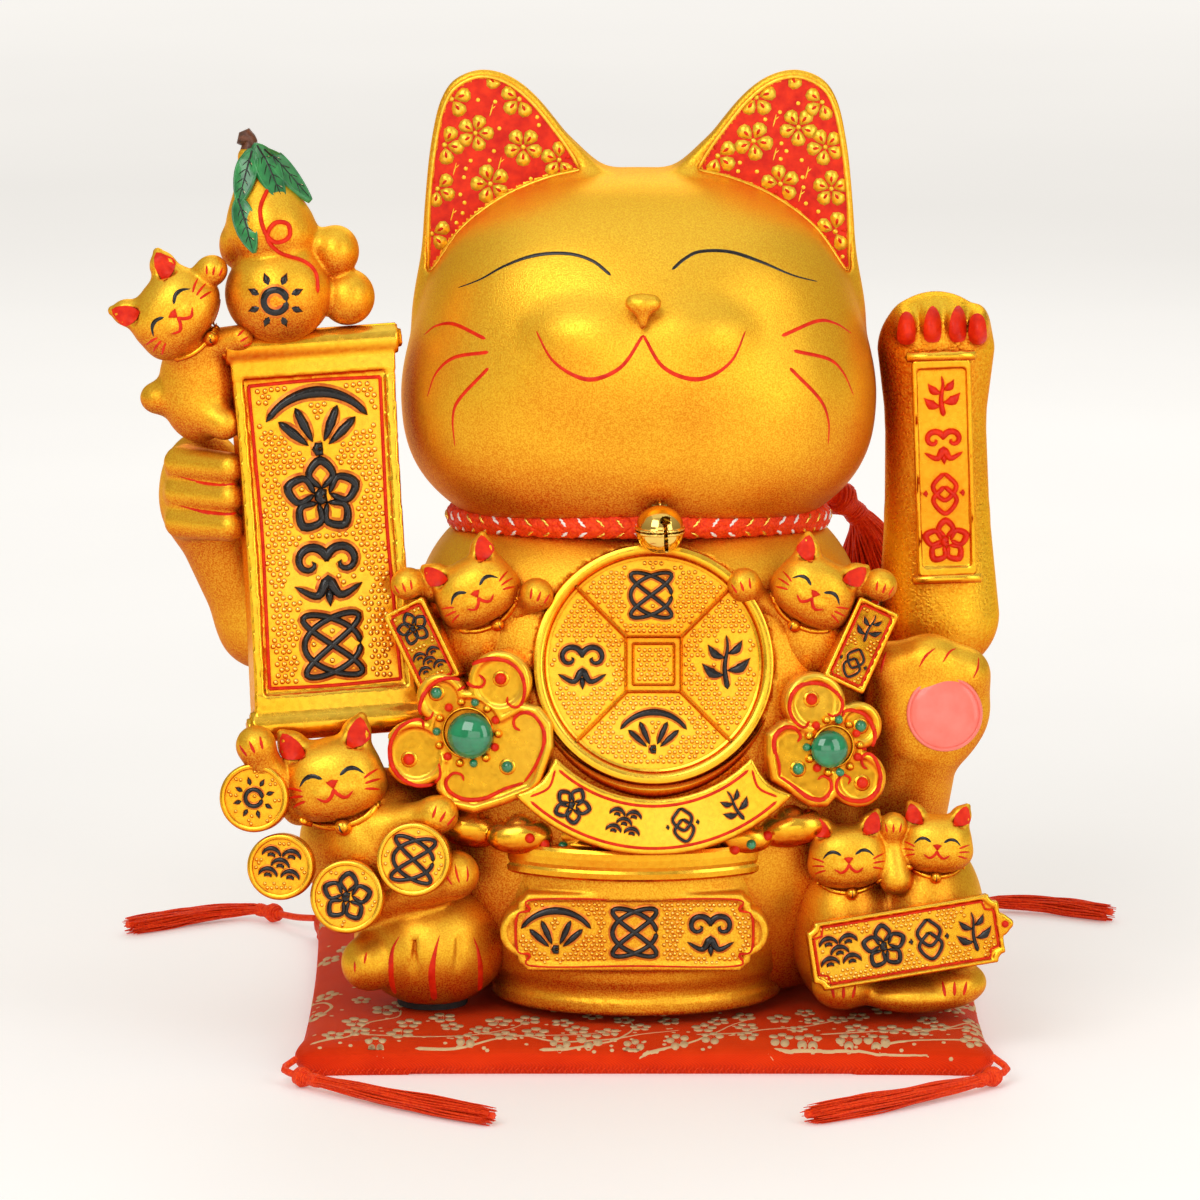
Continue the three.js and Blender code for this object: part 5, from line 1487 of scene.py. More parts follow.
for side, k in RUYI.items():
    node, at, stone = "ruyi_" + side, k["at"], k["stone"]
    low, high = box(node)
    plane = Plane((at[0], at[1] + 8.5, at[2]), 8, 0, k["yaw"])
    rounds, pointed = circles(0.6, *k["lobes"], (0, 0, k["core"])), polygon(k["point"])
    outline = lambda q: np.minimum(rounds(q), pointed(q) - 0.6)
    bed = slab(plane.moved(-8.25), lambda q: outline(q) + 3.4, 2.6, 1.2)
    form = carve(0.8, slab(plane, outline, 16.5, 2.4), bed)
    mesh = solid(node + "_head", node, form, low - 3, high + 3, 0.95, lacquer_gold)
    lay = cast(plane, tree_of(*mesh), 30)
    bag = Bag()
    for line in k["lines"]:
        stroke(bag, lay, line, (1.3, 2.3, 1.1), 1.0, 0, 0.7)
    for u, v, kind in k["spots"]:
        dome(bag, lay, [(u, v)], 2.7, 2.4, kind, 14)
        dome(bag, lay, [(u, v)], 3.7, 0.7, 2, 14)
    for i in range(14):
        a = i * 2 * math.pi / 14
        dome(bag, lay, [((stone + 3.4) * math.cos(a), (stone + 3.4) * math.sin(a))], 1.9, 2.2,
             (2, 0, 2, 1)[i % 4], 12)
    stroke(bag, lay, arc(0, 0, stone + 0.6, 0, 352, 40), 1.5, 1.6, 2, 1.0, True)
    make(node + "_enamel", bag, [red, green, bright_gold])
    gem = Bag()
    t = np.linspace(0, math.pi / 2, 12)
    top = Plane(at, 8, 0, k["yaw"])
    spun(gem, top, [(stone * 0.6, -1.0), (stone, -0.6)]
         + [(stone * math.cos(x) + 0.01, stone * 0.62 * math.sin(x)) for x in t], 48)
    make("stone_" + side + "_cabochon", gem, green, replaces=["stone_" + side])


# ---------------------------------------- banner
ribbon = Plane((4, -88.5, 168), 14)


def banner_flat(q):
    r, a = np.hypot(*q.T), np.degrees(np.arctan2(q[:, 0], -q[:, 1]))
    return np.maximum(np.maximum(r - 80, 56.5 - r),
                      (np.abs(a) - 46 + 2.0 * np.cos((r - 68) / 6)) * r * math.pi / 180)


def banner_form(p):
    q = ribbon.local(p)
    return rounded(banner_flat(q[:, [0, 2]]), np.abs(q[:, 1] - 5.5) - 5.5, 1.0)


low, high = box("banner")
solid("banner_ribbon", "banner", banner_form, low - 2, high + 2, 1.0, bright_gold)
bag, lay, lines = Bag(), flat(ribbon, 0), []
polar = lambda r, a: (r * sind(a), -r * cosd(a))
for r in (59.5, 77.2):
    stroke(bag, lay, [polar(r, a) for a in np.linspace(-42, 42, 28)], 1.5, 0.6, 1, 1.2)
for w in (-1, 1):
    stroke(bag, lay, [polar(60.5, w * 43), polar(68, w * 40.4), polar(76, w * 43)], 1.2, 0.6, 1, 1)
for i, kind in enumerate(("blossom", "waves", "lozenge", "sprig")):
    a = (-30, -10.5, 10.5, 30)[i]
    u, v = polar(68.3, a)
    motif(bag, lay, kind, u, v, 7.8, 0, 1.1, -a, 1.5, lines, 2)
make("banner_enamel", bag, [black, red, halo])


# ---------------------------------------- treasure bowl
bowl_low, bowl_high = box("treasure_bowl")
BX, BY = -3.0, -52.0


def bowl_form(p):
    q = np.hypot((p[:, 0] - BX), (p[:, 1] - BY) * 69 / 52)
    z = p[:, 2]
    r = np.interp(z, [18.8, 21, 26, 29, 33, 42, 52, 62, 72, 79.5, 80.5, 82, 84, 89, 91],
                  [59.5, 60.2, 60.2, 60.6, 63.2, 65.8, 66.8, 67.0, 66.6, 66.0, 67.6, 68.8, 69.0, 68.9,
                   67.6])
    return np.maximum((q - r) * 0.8, np.maximum(BASE_Z - z, z - 91))


panel_plane = Plane((BX - 1, -87, 54.5), 4)
cusped = circles(0.1, (-46, 0, 10.5), (46, 0, 10.5))
corner_cut = lambda q: np.hypot(np.abs(q[:, 0]) - 51, np.abs(q[:, 1]) - 18.5) - 6
panel_flat = lambda q: np.minimum(np.maximum(rectangle(98, 33, 4)(q), -corner_cut(q)), cusped(q))
panel = slab(panel_plane, panel_flat, 30, 1.2)
sunk = slab(panel_plane.moved(-15.5), lambda q: panel_flat(q) + 3.0, 3.4, 0.4)
mound = lambda p: ball((BX, BY - 4, 90), (62, 41, 12))(p)
flange = lambda p: np.maximum((np.hypot(p[:, 0] - BX, (p[:, 1] - BY) * 69 / 52) - 61.5) * 0.8,
                              np.maximum(BASE_Z - p[:, 2], p[:, 2] - 24.5))


def ingot(at, s, roll):
    pl = Plane(at, 0, roll)
    boat = lambda p: np.maximum(ball(at, (s * 1.1, s * 0.65, s * 0.6), 0, roll)(p),
                                -(ball(pl.put(0, s * 0.95), (s * 0.98, s * 0.8, s * 0.66), 0, roll)(p)))
    return merge(0.8, boat, ball(pl.put(0, s * 0.2), (s * 0.52, s * 0.5, s * 0.5), 0, roll))


bowl = carve(0.6, merge(1.2, merge(1.5, bowl_form, flange), panel), sunk)
solid("bowl_body", "treasure_bowl", bowl, bowl_low - 3, bowl_high + (3, 3, -4), 1.35)
bag = Bag()
a = angles(120)
rim = [(65.8, 77.6), (68.4, 77.9), (69.6, 79.0), (69.9, 81.2), (69.3, 82.4), (69.8, 84.0), (70.1, 87.0),
       (70.0, 89.6), (69.0, 91.0), (66.5, 91.2)]
ring_ = np.concatenate([np.stack([BX + r * np.cos(a), BY + r * 52 / 69 * np.sin(a), 0 * a + z], 1) for r,
                        z in rim])
for i in range(len(rim) - 1):
    bag.add(ring_[i * 120:(i + 2) * 120], grid(2, 120, loop=True))
heap = [ingot((-74, -79, 96), 14, 10), ingot((-52, -88, 94.5), 13, -4), ingot((62, -84, 97), 14, -8),
        ingot((42, -90, 94), 11, 5),
        ingot((-28, -86, 95), 10, -4), ingot((8, -60, 100), 13, 5), ingot((-40, -62, 99), 13, -8),
        ingot((44, -56, 99), 12, 9)]
low, high = (-90, -98, 84), (78, -12, 112)
verts, faces = net(merge(0.8, mound, *heap), low, high, 1.1)
bag.add(verts, faces)
make("bowl_treasure", bag, bright_gold)
treasure_lay = cast(Plane((0, -50, 95)), tree_of(verts, faces), 60)
beads = Bag()
for i, (u, v) in enumerate(((-41.7, 91.6 - 95), (38.3, 89.9 - 95), (-34.1, 90.6 - 95), (45.1, 92.5 - 95),
                            (-20, -3), (26, -3), (-8, -2.6), (14, -2.6), (-48, 0), (52, 0.5))):
    dome(beads, treasure_lay, [(u, v)], 2.2, 2.2, (0, 0, 1, 1)[i % 4], 14)
make("bowl_beads", beads, [red, green])
floor_of = flat(panel_plane, 13.8)
bag, lines = Bag(), []
edge_line = [(-50, 0), (-49, 8), (-44, 9.5), (-42.5, 14.2), (0, 14.2), (42.5, 14.2), (44, 9.5), (49, 8),
             (50, 0), (49, -8), (44, -9.5), (42.5, -14.2), (0, -14.2),
             (-42.5, -14.2), (-44, -9.5), (-49, -8)]
stroke(bag, floor_of, edge_line, 1.3, 1.6, 1, 1.2, True)
for kind, u in (("fan", -33), ("knot", 0), ("cloud", 32)):
    motif(bag, floor_of, kind, u, 0, 11.6, 0, 1.6, bold=1.5, lines=lines, halo=2)
make("bowl_panel_enamel", bag, [black, red, halo])
roe = Bag()
dome(roe, floor_of, hexes(polygon(smooth(edge_line, 1.2, True)), (-50, -15), (50, 15), 2.2, lines, 1.5,
                          0.1), 0.9, 0.7)
make("bowl_panel_roe", roe, roe_gold)


# ---------------------------------------- plates: plaque, small scrolls, fortune coins
def framed(name, node, plane, w, h, thick, kinds, size, along, spin=0.0, corner=3.0, pitch=2.1,
           enamel=(0, 1), point=False):
    """A plate with a sunk dotted ground, a red line round it and raised motifs."""
    low, high = box(node)
    tip = rectangle(w, h, corner)
    bed = rectangle(w - 3.4, h - 3.4, max(corner - 1, 0.5))
    if point:
        notch = lambda q, r: np.hypot(np.abs(q[:, 0]) - w / 2, np.abs(q[:, 1]) - h / 2) - r
        tip = lambda q: np.minimum(np.maximum(rectangle(w, h, corner)(q), -notch(q, 3.6)),
                                   circles(1, (w / 2 - 1, 1, 5), (w / 2 + 3, 1, 2.2))(q))
        bed = lambda q: np.maximum(rectangle(w - 3.4, h - 3.4, 2)(q), -notch(q, 6.0))
    board = carve(0.4, slab(plane.moved(thick / 2), tip, thick, 1.0), slab(plane, bed, 1.6, 0.3))
    solid(name, node, board, low - 2, high + 2, 0.8, bright_gold)
    ground = flat(plane, -0.8)
    b, noted = Bag(), []
    x, y, c = w / 2 - 2.6, h / 2 - 2.6, 4.2 if point else 0.6
    q = [(c - x, -y), (x - c, -y), (x - c * 0.8, c * 0.8 - y), (x, c - y), (x, y - c),
         (x - c * 0.8, y - c * 0.8), (x - c, y), (c - x, y),
         (c * 0.8 - x, y - c * 0.8), (-x, y - c), (-x, c - y), (c * 0.8 - x, c * 0.8 - y)]
    for start, end in zip(q, q[1:] + q[:1]):
        stroke(b, ground, [start, end], 1.0, 1.0, 1, 1.2, blunt=True)
    if point:
        dome(b, flat(plane, 0), [(w / 2 + 1.5, 1)], 1.6, 1.2, 1, 12)
    for kind, (u, v) in zip(kinds, along):
        motif(b, ground, kind, u, v, size, 0, 1.3, spin, 1.45, noted, 2)
    make(name + "_enamel", b, [black, red, halo])
    b = Bag()
    dome(b, ground, hexes(rectangle(w - 5, h - 5), (-w / 2, -h / 2), (w / 2, h / 2), pitch, noted, 0.9,
                          0.1), 0.85, 0.65)
    make(name + "_roe", b, roe_gold)


def plate_plane(at, lean, roll, yaw, thick):
    return Plane(at, lean, roll, yaw).moved(-thick / 2)


framed("pair_plaque_board", "pair_plaque", plate_plane((110, -99, 51), 8, -8, 6, 9), 82, 29, 9,
       ("waves", "blossom", "lozenge", "sprig"), 9.4,
       [(-28.5, 0), (-9.5, 0), (10, 0), (29, 0)], point=True)
framed("small_scroll_left_board", "small_scroll_left", plate_plane((-92, -73, 173.5), 8, -28, -12, 16), 19,
       37, 16, ("blossom", "waves"), 7.0,
       [(0, 8), (0, -8)], pitch=1.9, corner=1.2)
framed("small_scroll_right_board", "small_scroll_right", plate_plane((90, -73, 173.5), 8, 27, 12, 16), 19,
       37, 16, ("sprig", "lozenge"), 7.0,
       [(0, 8), (0, -8)], pitch=1.9, corner=1.2)
for i, (at, r, kind) in enumerate((((-164, -99, 113), 14.5, "wheel"), ((-153, -102, 84), 14, "waves"),
                                   ((-125, -106, 72), 15.5, "blossom"),
                                   ((-97, -106, 88), 15.6, "knot"))):
    node = f"fortune_coin_{i + 1}"
    pl = Plane(at, 10, 0, -6)
    b, noted = Bag(), []
    spun(b, pl, [(0.01, -11), (r - 1, -11), (r, -10), (r, -1.0), (r - 0.5, -0.2), (r - 1.3, 0),
                 (r - 2.1, -0.3), (r - 2.4, -1.3), (0.01, -1.3)], 64)
    make(node + "_disc", b, bright_gold, replaces=[node], sharp=50)
    ground = flat(pl, -1.3)
    b = Bag()
    motif(b, ground, kind, 0, 0, r * 0.68, 0, 1.3, 6, 1.4, noted, 1)
    make(node + "_motif", b, [black, halo])
    b = Bag()
    dome(b, ground, hexes(lambda q, r=r: np.hypot(*q.T) - r + 2.4, (-r, -r), (r, r), 1.95, noted, 0.9, 0.1),
         0.8, 0.65)
    make(node + "_roe", b, roe_gold)


# ---------------------------------------- scroll tablet
tablet = Plane((-136, -48, 217), 8.5, -2.6, 9)
W, H, T = 71.0, 166.0, 20.0
low, high = box("scroll_tablet")


def tablet_form(p):
    q = tablet.local(p)
    bow = 1.6 * (q[:, 2] / (H / 2)) ** 2
    sides = np.abs(q[:, 0]) - (W / 2 - 2.0 + bow) + 1
    body = np.maximum(np.maximum(sides, np.abs(q[:, 2]) - H / 2 + 1), np.abs(q[:, 1]) - T / 2 + 1) - 1
    ground = np.maximum(np.maximum(np.abs(q[:, 0]) - (W / 2 - 6.2 + bow), np.abs(q[:, 2]) - H / 2 + 15),
                        np.abs(q[:, 1] + T / 2) - 1.5)
    d = np.maximum(body, -ground)
    for v in (H / 2 - 3, 3 - H / 2):
        roll = np.hypot(q[:, 1] + 6 * cosd(8.5), q[:, 2] - v) - 6.5
        cap = np.hypot(q[:, 1] + 6 * cosd(8.5), q[:, 2] - v) - 4.0
        length = np.abs(q[:, 0]) - (W / 2 + 1.2)
        knob = np.maximum(np.abs(q[:, 0]) - (W / 2 + 3.0), cap)
        sheet = np.maximum(np.maximum(np.abs(q[:, 1] + 8.4) - 1.6,
                                      np.abs(q[:, 2] - v + (6 if v > 0 else -6)) - 7),
                                      np.abs(q[:, 0]) - W / 2 + 1)
        d = soft_min(d, np.minimum(np.maximum(roll, length), knob), 1.0)
        d = soft_min(d, sheet, 1.2)
    return d


solid("scroll_board", "scroll_tablet", tablet_form, low - 2, high + 2, 1.25, bright_gold)
ground = flat(tablet, T / 2 - 1.5)
b, noted = Bag(), []
edge_line = [(-28, -64), (0, -64.6), (28, -64), (27.2, -30), (26.6, 0), (27.2, 30), (28, 64), (0, 64.6),
             (-28, 64), (-27.2, 30), (-26.6, 0), (-27.2, -30)]
for i in ((0, 1, 2), (2, 3, 4, 5, 6), (6, 7, 8), (8, 9, 10, 11, 0)):
    stroke(b, ground, [edge_line[j] for j in i], 1.7, 1.3, 1, 1.5, blunt=True)
for kind, v, size in (("fan", 46, 17), ("blossom", 15.5, 16), ("cloud", -16, 17), ("knot", -47.5, 15)):
    motif(b, ground, kind, 0, v, size, 0, 2.4, bold=1.5, lines=noted, halo=2)
make("scroll_enamel", b, [black, red, halo])
b = Bag()
dome(b, ground, hexes(rectangle(52.5, 126), (-27, -64), (27, 64), 2.9, noted, 1.0, 0.12), 1.2, 0.95)
make("scroll_roe", b, roe_gold)


# ---------------------------------------- gourds, leaves and tendril
low, high = box("gourds")
gourd = merge(2.0, ball((-154, -46, 319), (22.5, 19, 21)), ball((-158, -41, 346), (17, 17, 18)),
              ball((-130, -40, 336), (10, 11, 11)),
              ball((-125, -40, 316.5), (11.5, 12, 12)), ball((-171, -38, 338), (8, 10, 10)))
gourd = merge(7, gourd, limb((-159, -40, 347), (-167, -38, 376), 16, 4.0),
              limb((-151, -40, 342), (-159, -39, 360), 13, 8))
on_gourd = cast(FRONT, tree_of(*solid("gourd_bunch", "gourds", gourd, low - 3, high + 3, 1.3)), 160)
b = Bag()
motif(b, on_gourd, "wheel", -154.6, 318.5, 13.5, 0, 0.8, bold=1.6, halo=2)
stroke(b, on_gourd, [(-158, 364), (-161, 356), (-159, 347), (-154.5, 342.5), (-149, 344.5), (-149.5, 350),
                     (-155, 350.5), (-158, 344.5), (-153, 338),
                        (-143, 334), (-138, 329), (-137, 321)],
       (2.0, 2.2, 1.4), 1.3, 1, 0.8)
make("gourd_paint", b, [black, red, halo])
b = Bag()
line = smooth([(-164, -38, 367), (-167, -37.5, 376), (-165.8, -36.5, 381.5), (-168.8, -36, 384.5)], 1.0)
tube(b, line, np.interp(np.linspace(0, 1, len(line)), [0, 0.8, 1], [3.0, 3.3, 4.2]), 12)
make("gourd_stem", b, stalk)


def over_fruit(lift):
    """Lays (u, v) points on a smooth sheet draped over the tapering top of the fruit."""

    def front(u, v):
        mid = np.interp(v, [331, 346, 376, 386], [-155, -158, -167, -168])
        r = np.interp(v, [331, 346, 376, 386], [19.5, 17.5, 5.0, 5.0])
        return -40 - r - np.interp(v, [325, 340], [2.5, 0]) + 0.36 * (u - mid) ** 2 / r

    def lay(uv):
        u, v = np.asarray(uv, float).T
        slope = [(front(u + a, v + b) - front(u - a, v - b)) / 0.4 for a, b in ((0.2, 0), (0, 0.2))]
        out = unit(np.stack([slope[0], -np.ones(len(u)), slope[1]], 1))
        return np.stack([u, front(u, v), v], 1) + out * lift, out

    return lay


def leaf_blade(b, base, tip, width):
    """A pointed leaf with a rolled edge, raised dark veins and short pale strokes that are painted glints.
    """
    base, tip = np.array(base, float), np.array(tip, float)
    run = tip - base
    side = np.array([-run[1], run[0]]) / np.linalg.norm(run) * width
    at = lambda t, c: base + run * t + side * c
    edge_at = lambda t, w: at(t, w * math.sin(math.pi * t ** 0.8) ** 0.75)
    rim = np.array([edge_at(t, 1) for t in np.linspace(0, 1, 22)]
                    + [edge_at(t, -1) for t in np.linspace(1, 0, 22)[1:-1]])
    patch(b, over_fruit(1.4), rim, 1.6, 0)
    stroke(b, over_fruit(0.9), rim, 1.3, 0.75, 0, 1.2, True, 1.2)
    top = over_fruit(1.35)
    stroke(b, top, [at(0.0, 0), at(0.5, 0.06), at(0.95, 0)], (1.1, 0.9, 0.3), 0.35, 1, 0.8)
    for t in (0.2, 0.36, 0.52, 0.68):
        for w in (-0.62, 0.62):
            reach = w * math.sin(math.pi * t ** 0.8)
            stroke(b, top, [at(t, 0), at(t + 0.06, reach * 0.5), at(t + 0.13, reach)], (0.6, 0.6, 0.2),
                   0.3, 1, 0.8)
        # painted highlights: short pale gold strokes standing for glints on the glaze
        stroke(b, top, [at(t + 0.05, 0.25), at(t + 0.09, 0.45)], (0.3, 0.4, 0.2), 0.3, 2, 0.5)


b = Bag()
for base, tip, width in (((-161, 380), (-140.5, 357), 2.8), ((-163.5, 382), (-151.5, 357), 4.2),
                         ((-165, 380), (-170, 357), 4.0),
                         ((-170, 360), (-163.5, 338), 4.4)):
    leaf_blade(b, base, tip, width)
make("gourd_leaves", b, [leaf, black, glint_gold])


# ---------------------------------------- waving arm
ARM_LINE = [(127, 172, 26), (126, 215, 22.5), (125, 258, 21.5), (125, 287, 25.0)]
FLAT = 0.72
squeeze = lambda p: np.stack([p[:, 0], (p[:, 1] - 2.5) / FLAT, p[:, 2]], 1)
arm_core = merge(1.2, *[limb((a[0], 0, a[1]), (b_[0], 0, b_[1]), a[2], b_[2]) for a,
                        b_ in zip(ARM_LINE, ARM_LINE[1:])])
arm_plane = Plane((128, -18, 239.5), 0, -2)
plate_seat = slab(arm_plane, rectangle(27.2, 96.5, 2.5), 8.0, 0.5)
toe = [ball((111.8 + 10.2 * i, -6, 299.5 - 1.4 * (i in (0, 3))), (5.4, 18 / FLAT * 0.92, 8.6))
       for i in range(4)]


def arm_outer(p):
    q = squeeze(p)
    d = soft_min(arm_core(q), np.minimum.reduce([t(q) for t in toe]), 3.0)
    return d * 0.8


def arm_half(way):
    def f(p):
        out = arm_outer(p)
        d = np.maximum(out, -(out + 2.2))
        d = np.maximum(d, -plate_seat(p))
        pin = np.maximum(np.hypot(p[:, 1] - PIVOT[1], p[:, 2] - PIVOT[2]) - 3.6, p[:, 0] - 141.5)
        boss = np.maximum(np.maximum(np.hypot(p[:, 1] - PIVOT[1], p[:, 2] - PIVOT[2]) - 7, out),
                          p[:, 0] - 150)
        d = np.maximum(np.minimum(d, boss), -pin)
        return np.maximum(d, -way * (p[:, 1] - PIVOT[1]) + 0.18)

    return f


for node, way in (("arm_front_shell", -1), ("arm_back_shell", 1)):
    low, high = box(node)
    mesh = solid(node + "_moulding", node, arm_half(way), low - 3, high + 3, 1.15, arm_gold,
                 "arm")
    if way < 0:
        on_arm = cast(FRONT, tree_of(*mesh), 120)
b = Bag()
for x, z, tall in ((111.8, 299.2, 6.0), (122.9, 300.8, 6.6), (133.6, 300.8, 6.6), (142.0, 299.0, 5.6)):
    shape = smooth([(x - 3.1, z - tall), (x - 3.4, z - 1), (x - 2.4, z + 4), (x, z + tall),
                    (x + 2.4, z + 4), (x + 3.4, z - 1), (x + 3.1, z - tall), (x, z - tall - 1.2)], 1.0,
                    True)
    patch(b, on_arm, shape, 1.3, 0, 0.55)
make("arm_toe_pads", b, red, "arm")
b = Bag()
board = slab(arm_plane, rectangle(25.2, 94.0, 2.0), 4.8, 0.8)
sunk_ = slab(arm_plane.moved(-2.4), rectangle(21.0, 86, 1.6), 2.2, 0.3)
low, high = box("arm_plate")
verts, faces = net(carve(0.3, board, sunk_), low - 1, high + 1, 0.9)
b.add(verts, faces)
for x, z in ((126.3, 287.6), (129.7, 191.4)):
    rod = Plane((x, -19, z), 0, -2)
    tube(b, [rod.put(u, 0) for u in (-14.8, -14.5, -14.4, -5, 5, 14.4, 14.5, 14.8)],
         [1.2, 2.0, 2.2, 2.2, 2.2, 2.2, 2.0, 1.2], 16)
make("arm_plate_board", b, bright_gold, "arm", ["arm_plate"])
b = Bag()
ground = flat(arm_plane, 1.3)
for kind, v in (("sprig", 31), ("cloud", 10), ("lozenge", -11), ("blossom", -32)):
    motif(b, ground, kind, 0, v, 9.6, 0, 1.6, bold=1.7)
make("arm_plate_motifs", b, red, "arm")


# ---------------------------------------- cushion
low, high = box("cushion")
TOP = high[2]
SWELL = 0.0035  # how far, in metres, the filling may push the cover out


def cushion_mesh():
    """The mat's cover before it is filled: a slab with rounded edges, its sides drawn in a little between
    the corners; it is pressed flat underneath and where the cat sits, and dog-eared at its corners, after
    filling.
    """
    w, d, c = 148.0, 133.0, 10.0

    def form(p):
        q = np.abs(p[:, :2])
        pinch = 2.2 * np.cos(np.clip(q / (w, d), 0, 1) * math.pi / 2)
        u = np.maximum(q - np.array([w, d]) + pinch[:, ::-1] + c, 0)
        side = np.hypot(u[:, 0], u[:, 1]) - c
        side = np.minimum(side, 40)
        h = np.abs(p[:, 2] - 6.6) - 5.6
        return rounded(side, h, 2.4)

    return net(form, (-152, -137, 0), (152, 137, 14), 2.0)


def filled_cushion():
    verts, faces = cushion_mesh()
    me = bpy.data.meshes.new("cushion_cover")
    me.from_pydata((verts * MM).tolist(), [], faces.tolist())
    ob = bpy.data.objects.new("cushion_cover", me)
    bpy.context.scene.collection.objects.link(ob)
    remesh = ob.modifiers.new("remesh", "REMESH")
    remesh.mode, remesh.voxel_size = "VOXEL", 0.005
    bake(ob)
    rest = coords(ob)
    cloth = ob.modifiers.new("cloth", "CLOTH")
    cloth.settings.quality = 6
    cloth.settings.mass = 0.3
    cloth.settings.use_pressure = True
    cloth.settings.uniform_pressure_force = 4.0
    cloth.settings.tension_stiffness = cloth.settings.compression_stiffness = 12
    cloth.settings.bending_stiffness = 0.6
    cloth.settings.effector_weights.gravity = 0
    cloth.collision_settings.use_collision = False
    for i in range(1, 21):
        bpy.context.scene.frame_set(i)
    bake(ob)
    bpy.context.scene.frame_set(1)
    p = coords(ob)
    move = p - rest
    long = np.linalg.norm(move, axis=1)
    p = rest + move * np.minimum(1, SWELL / np.maximum(long, 1e-9))[:, None]
    ob.data.vertices.foreach_set("co", p.astype(np.float32).ravel())
    smoother = ob.modifiers.new("subdivision", "SUBSURF")
    smoother.levels = smoother.render_levels = 1
    bake(ob)
    return ob


def bake(ob):
    """Applies the modifiers to the mesh."""
    graph = bpy.context.evaluated_depsgraph_get()
    made = bpy.data.meshes.new_from_object(ob.evaluated_get(graph))
    ob.modifiers.clear()
    ob.data = made


def coords(ob):
    p = np.zeros(len(ob.data.vertices) * 3, np.float32)
    ob.data.vertices.foreach_get("co", p)
    return p.reshape(-1, 3).astype(float)


cushion = filled_cushion()
p = coords(cushion) / MM
q = np.abs(p[:, :2])
ear = np.clip((q[:, 0] - 118) / 30, 0, 1) ** 2 * np.clip((q[:, 1] - 103) / 30, 0, 1) ** 2
p[:, :2] *= 1 + 0.05 * ear[:, None]  # dog-eared corners
ripple = np.sin(p[:, 0] * 0.21) * np.cos(p[:, 1] * 0.11 + 1) + 0.6 * np.sin(p[:, 0] * 0.083 + p[:, 1]
        * 0.05)
near_edge = np.clip(np.maximum(q[:, 0] / 150, q[:, 1] / 135) * 3 - 1.9, 0, 1)
top_side = np.clip((p[:, 2] - 6) / 6, 0, 1)
p[:, 2] = np.where(p[:, 2] > 6, np.minimum(p[:, 2], TOP + 0.05),
                   p[:, 2]) + 0.22 * ripple * near_edge * top_side
under_cat = (q[:, 0] < 112) & (np.abs(p[:, 1] + 5) < 98)
p[:, 2] = np.where(under_cat & (p[:, 2] > 6), np.minimum(p[:, 2], TOP - 0.05), p[:, 2])
p[:, 2] = np.where(p[:, 2] < 2.2, 0.0, p[:, 2])
cushion.data.vertices.foreach_set("co", (p * MM).astype(np.float32).ravel())
me = cushion.data
me.materials.clear()
me.materials.append(satin_red.m)
me.materials.append(twill_side_shade.m)
me.update()
normal = np.zeros(len(me.polygons) * 3, np.float32)
me.polygons.foreach_get("normal", normal)
centre = np.zeros(len(me.polygons) * 3, np.float32)
me.polygons.foreach_get("center", centre)
normal, centre = normal.reshape(-1, 3), centre.reshape(-1, 3) / MM
# faces that turn sideways low down take the darker brocade: painted shade on the sides
me.polygons.foreach_set("material_index", ((normal[:, 2] < 0.35) & (centre[:, 2] < 9.2)).astype(np.int32))
me.polygons.foreach_set("use_smooth", np.ones(len(me.polygons), bool))
me.update()
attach(cushion, "cushion")
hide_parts("cushion")
cushion_faces = [tuple(f.vertices) for f in me.polygons]
cushion_tree = BVHTree.FromPolygons(p.tolist(), cushion_faces)


class Level(Plane):
    """A plane that faces up, v towards +Y."""

    def __init__(self, at):
        self.o, self.R = np.array(at, float), np.array([[1, 0, 0], [0, 0, 1], [0, -1, 0]], float)


on_top = cast(Level((0, 0, TOP)), cushion_tree, 30)
print_bag = Bag()
DEEP = 1.45  # the woven print is drawn out along the depth of the mat
PLACED = []  # (u, v, radius) of each blossom so far


def spray(bag, lay, u, v, way, n, size):
    """A branch that wanders from (u, v) with a close cluster of blossoms and buds along it."""
    line = [(u, v)]
    for k in range(5):
        way += RNG.uniform(-0.7, 0.7)
        line.append((line[-1][0] + size * 1.7 * math.cos(way), line[-1][1] + size * 1.2 * math.sin(way)))
    stroke(bag, lay, line, (2.4, 1.6, 0.8), 0.12, 0, 1.6)
    for k in range(4 * n):
        a, b = line[k % 6]
        u_, v_ = a + RNG.normal(0, size * 0.9), b + RNG.normal(0, size * 0.9)
        r = size * RNG.uniform(0.44, 0.6)
        clear = all(math.hypot(u_ - c, (v_ - d) / DEEP) > 0.93 * (r + e) for c, d, e in PLACED)
        if clear and abs(u_) < 146 - r and -131 + r * DEEP < v_ < 128 - r * DEEP:
            PLACED.append((u_, v_, r))
            blossom(bag, lay, u_, v_, r, RNG.uniform(0, 6))
    dots = [(a + RNG.normal(0, size), b + RNG.normal(0, size)) for a, b in line for _ in range(3)]
    dots = [(a, b) for a, b in dots if abs(a) < 143 and -131 < b < 128]
    dome(bag, lay, dots, 1.0, 0.14, 0, 6)


def blossom(bag, lay, u, v, r, spin):
    """Five separate petals, the red cloth showing between them and at the eye."""
    place = lambda d, a: (u + d * math.cos(a), v + DEEP * d * math.sin(a))
    for i in range(5):
        a = spin + i * 2 * math.pi / 5
        ring = [(0.6 * r * math.cos(a) + 0.33 * r * math.cos(c),
                  0.6 * r * math.sin(a) + 0.33 * r * math.sin(c))
                 for c in np.linspace(0, 5.65, 10)]
        fan(bag, lay, [(u + x, v + DEEP * y) for x, y in ring], 0.16, 0)
        stroke(bag, lay, [place(0.08 * r, a + 0.6), place(0.3 * r, a + 0.6)], 0.08 * r, 0.16, 0, 1)


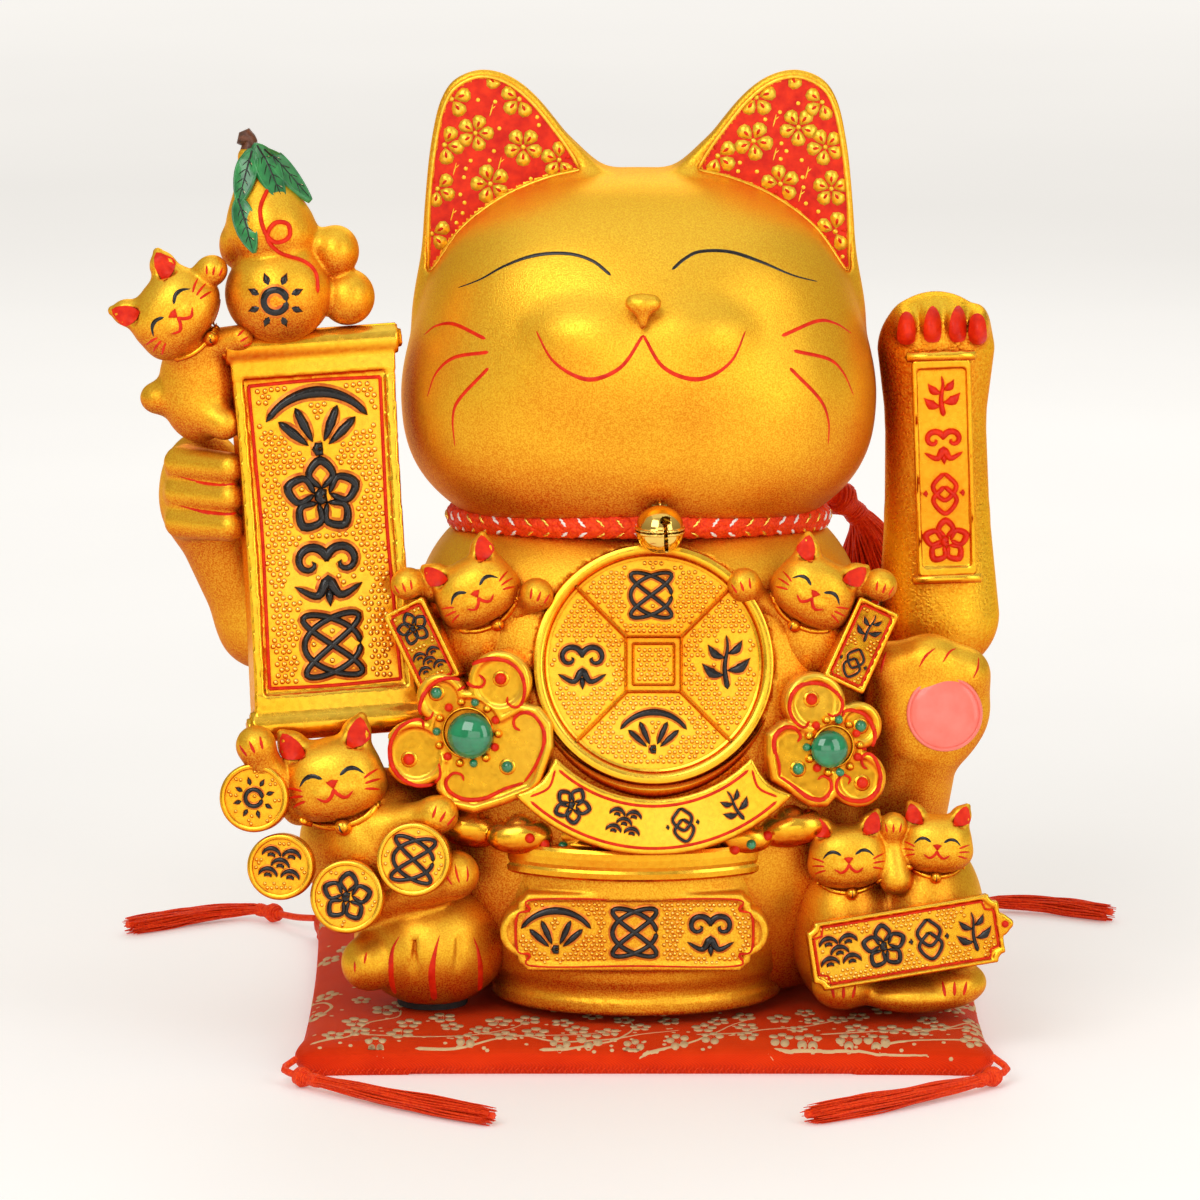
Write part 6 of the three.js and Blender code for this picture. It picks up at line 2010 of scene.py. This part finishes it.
for u, v, way, n, size in ((-140, -124, 0.1, 15, 11), (-118, -112, 0.3, 14, 11), (-96, -126, 0.1, 14, 11),
                           (-70, -110, -0.2, 14, 11), (-44, -126, 0.2, 10, 10),
                           (-8, -128, 0.1, 10, 10), (22, -112, 0.1, 8, 10), (52, -127, 0.2, 12, 11),
                           (74, -112, -0.1, 13, 11), (96, -126, 0.0, 14, 11),
                           (112, -108, 0.3, 10, 11), (-136, -70, 1.4, 8, 10), (132, -62, 1.6, 8, 10),
                           (-130, 30, 1.3, 9, 11), (128, 40, 1.7, 9, 11),
                           (-120, 108, 0.1, 12, 11), (-40, 116, 0.1, 12, 10), (30, 112, -0.2, 12, 11),
                           (90, 116, 0.2, 12, 10)):
    spray(print_bag, on_top, u, v, way, n, size)
make("cushion_blossoms", print_bag, blossom_gold, "cushion")


# overlock stitches along the seam, and a thread laid along their top
def rim_path(n=900, inset=0.0, z=2.4):
    a = angles(n)
    out = []
    for t in a:
        way = Vector((math.cos(t), math.sin(t), 0))
        hit, _, _, far = cushion_tree.ray_cast(Vector((0, 0, z)) + way * 260, -way, 260)
        out.append(tuple(hit) if hit else (0, 0, z))
    return np.array(out)


rim = smooth(rim_path(), 1.3, True)
out_way = np.cross(direction(rim, True), (0, 0, 1.0))
stitches = Bag()
for i in range(0, len(rim), 2):
    a_, o_ = rim[i], out_way[i]
    b_ = rim[(i + 1) % len(rim)]
    tube(stitches, [a_ - o_ * 0.2 + (0, 0, -1.6), a_ + o_ * 0.35 + (0, 0, -0.6),
                    b_ + o_ * 0.35 + (0, 0, 0.7), b_ - o_ * 0.1 + (0, 0, 1.5)], 0.26, 4)
tube(stitches, rim[::2] + (0, 0, 1.5) + out_way[::2] * 0.05, 0.42, 5, closed=True)
make("cushion_stitches", stitches, cord_red, "cushion")


# ---------------------------------------- the mechanism and the rest that stay as they are
for paint, slot, nodes in (
        (cover, "cover_plastic", "rear_cover battery_door"),
        (dark_plastic, "black_plastic", "battery_box power_switch dc_socket drive_frame shaft_bush"),
        (copper, "copper", "drive_coil"), (steel, "steel", "arm_shaft pendulum_weight"),
        (rubber, "rubber", "base_plug rubber_foot_front_left rubber_foot_front_right rubber_foot_rear_left"
                           " rubber_foot_rear_right"),
        (sleeve, "cell_sleeve", "battery_cell_1 battery_cell_2")):
    for node in nodes.split():
        finish_node(node, paint, slot)


# ---------------------------------------- floor
bpy.ops.mesh.primitive_plane_add(size=60, location=(0, 0, 0))
floor = bpy.context.object
floor.name = "studio_floor"
floor_paint = Paint("studio_floor", (0.86, 0.86, 0.85), 0.6)
floor_paint.set("Base Color",
                floor_paint.ramp(floor_paint.noise(3, 2), (0.3, (0.84, 0.84, 0.83)),
                                 (0.7, (0.88, 0.88, 0.87))))
# painted light: the floor glows, more the farther it lies from the middle, so the far floor shows as bright
# as the near
floor_paint.set("Emission Color", (1.0, 0.995, 0.985, 1))
far = floor_paint.feed(floor_paint.node("VectorMath", operation="LENGTH"),
                       _0=floor_paint.at).outputs["Value"]
floor_paint.set("Emission Strength", floor_paint.span(far, 0.2, 6.0, 0.18, 0.78))
floor.data.materials.append(floor_paint.m)
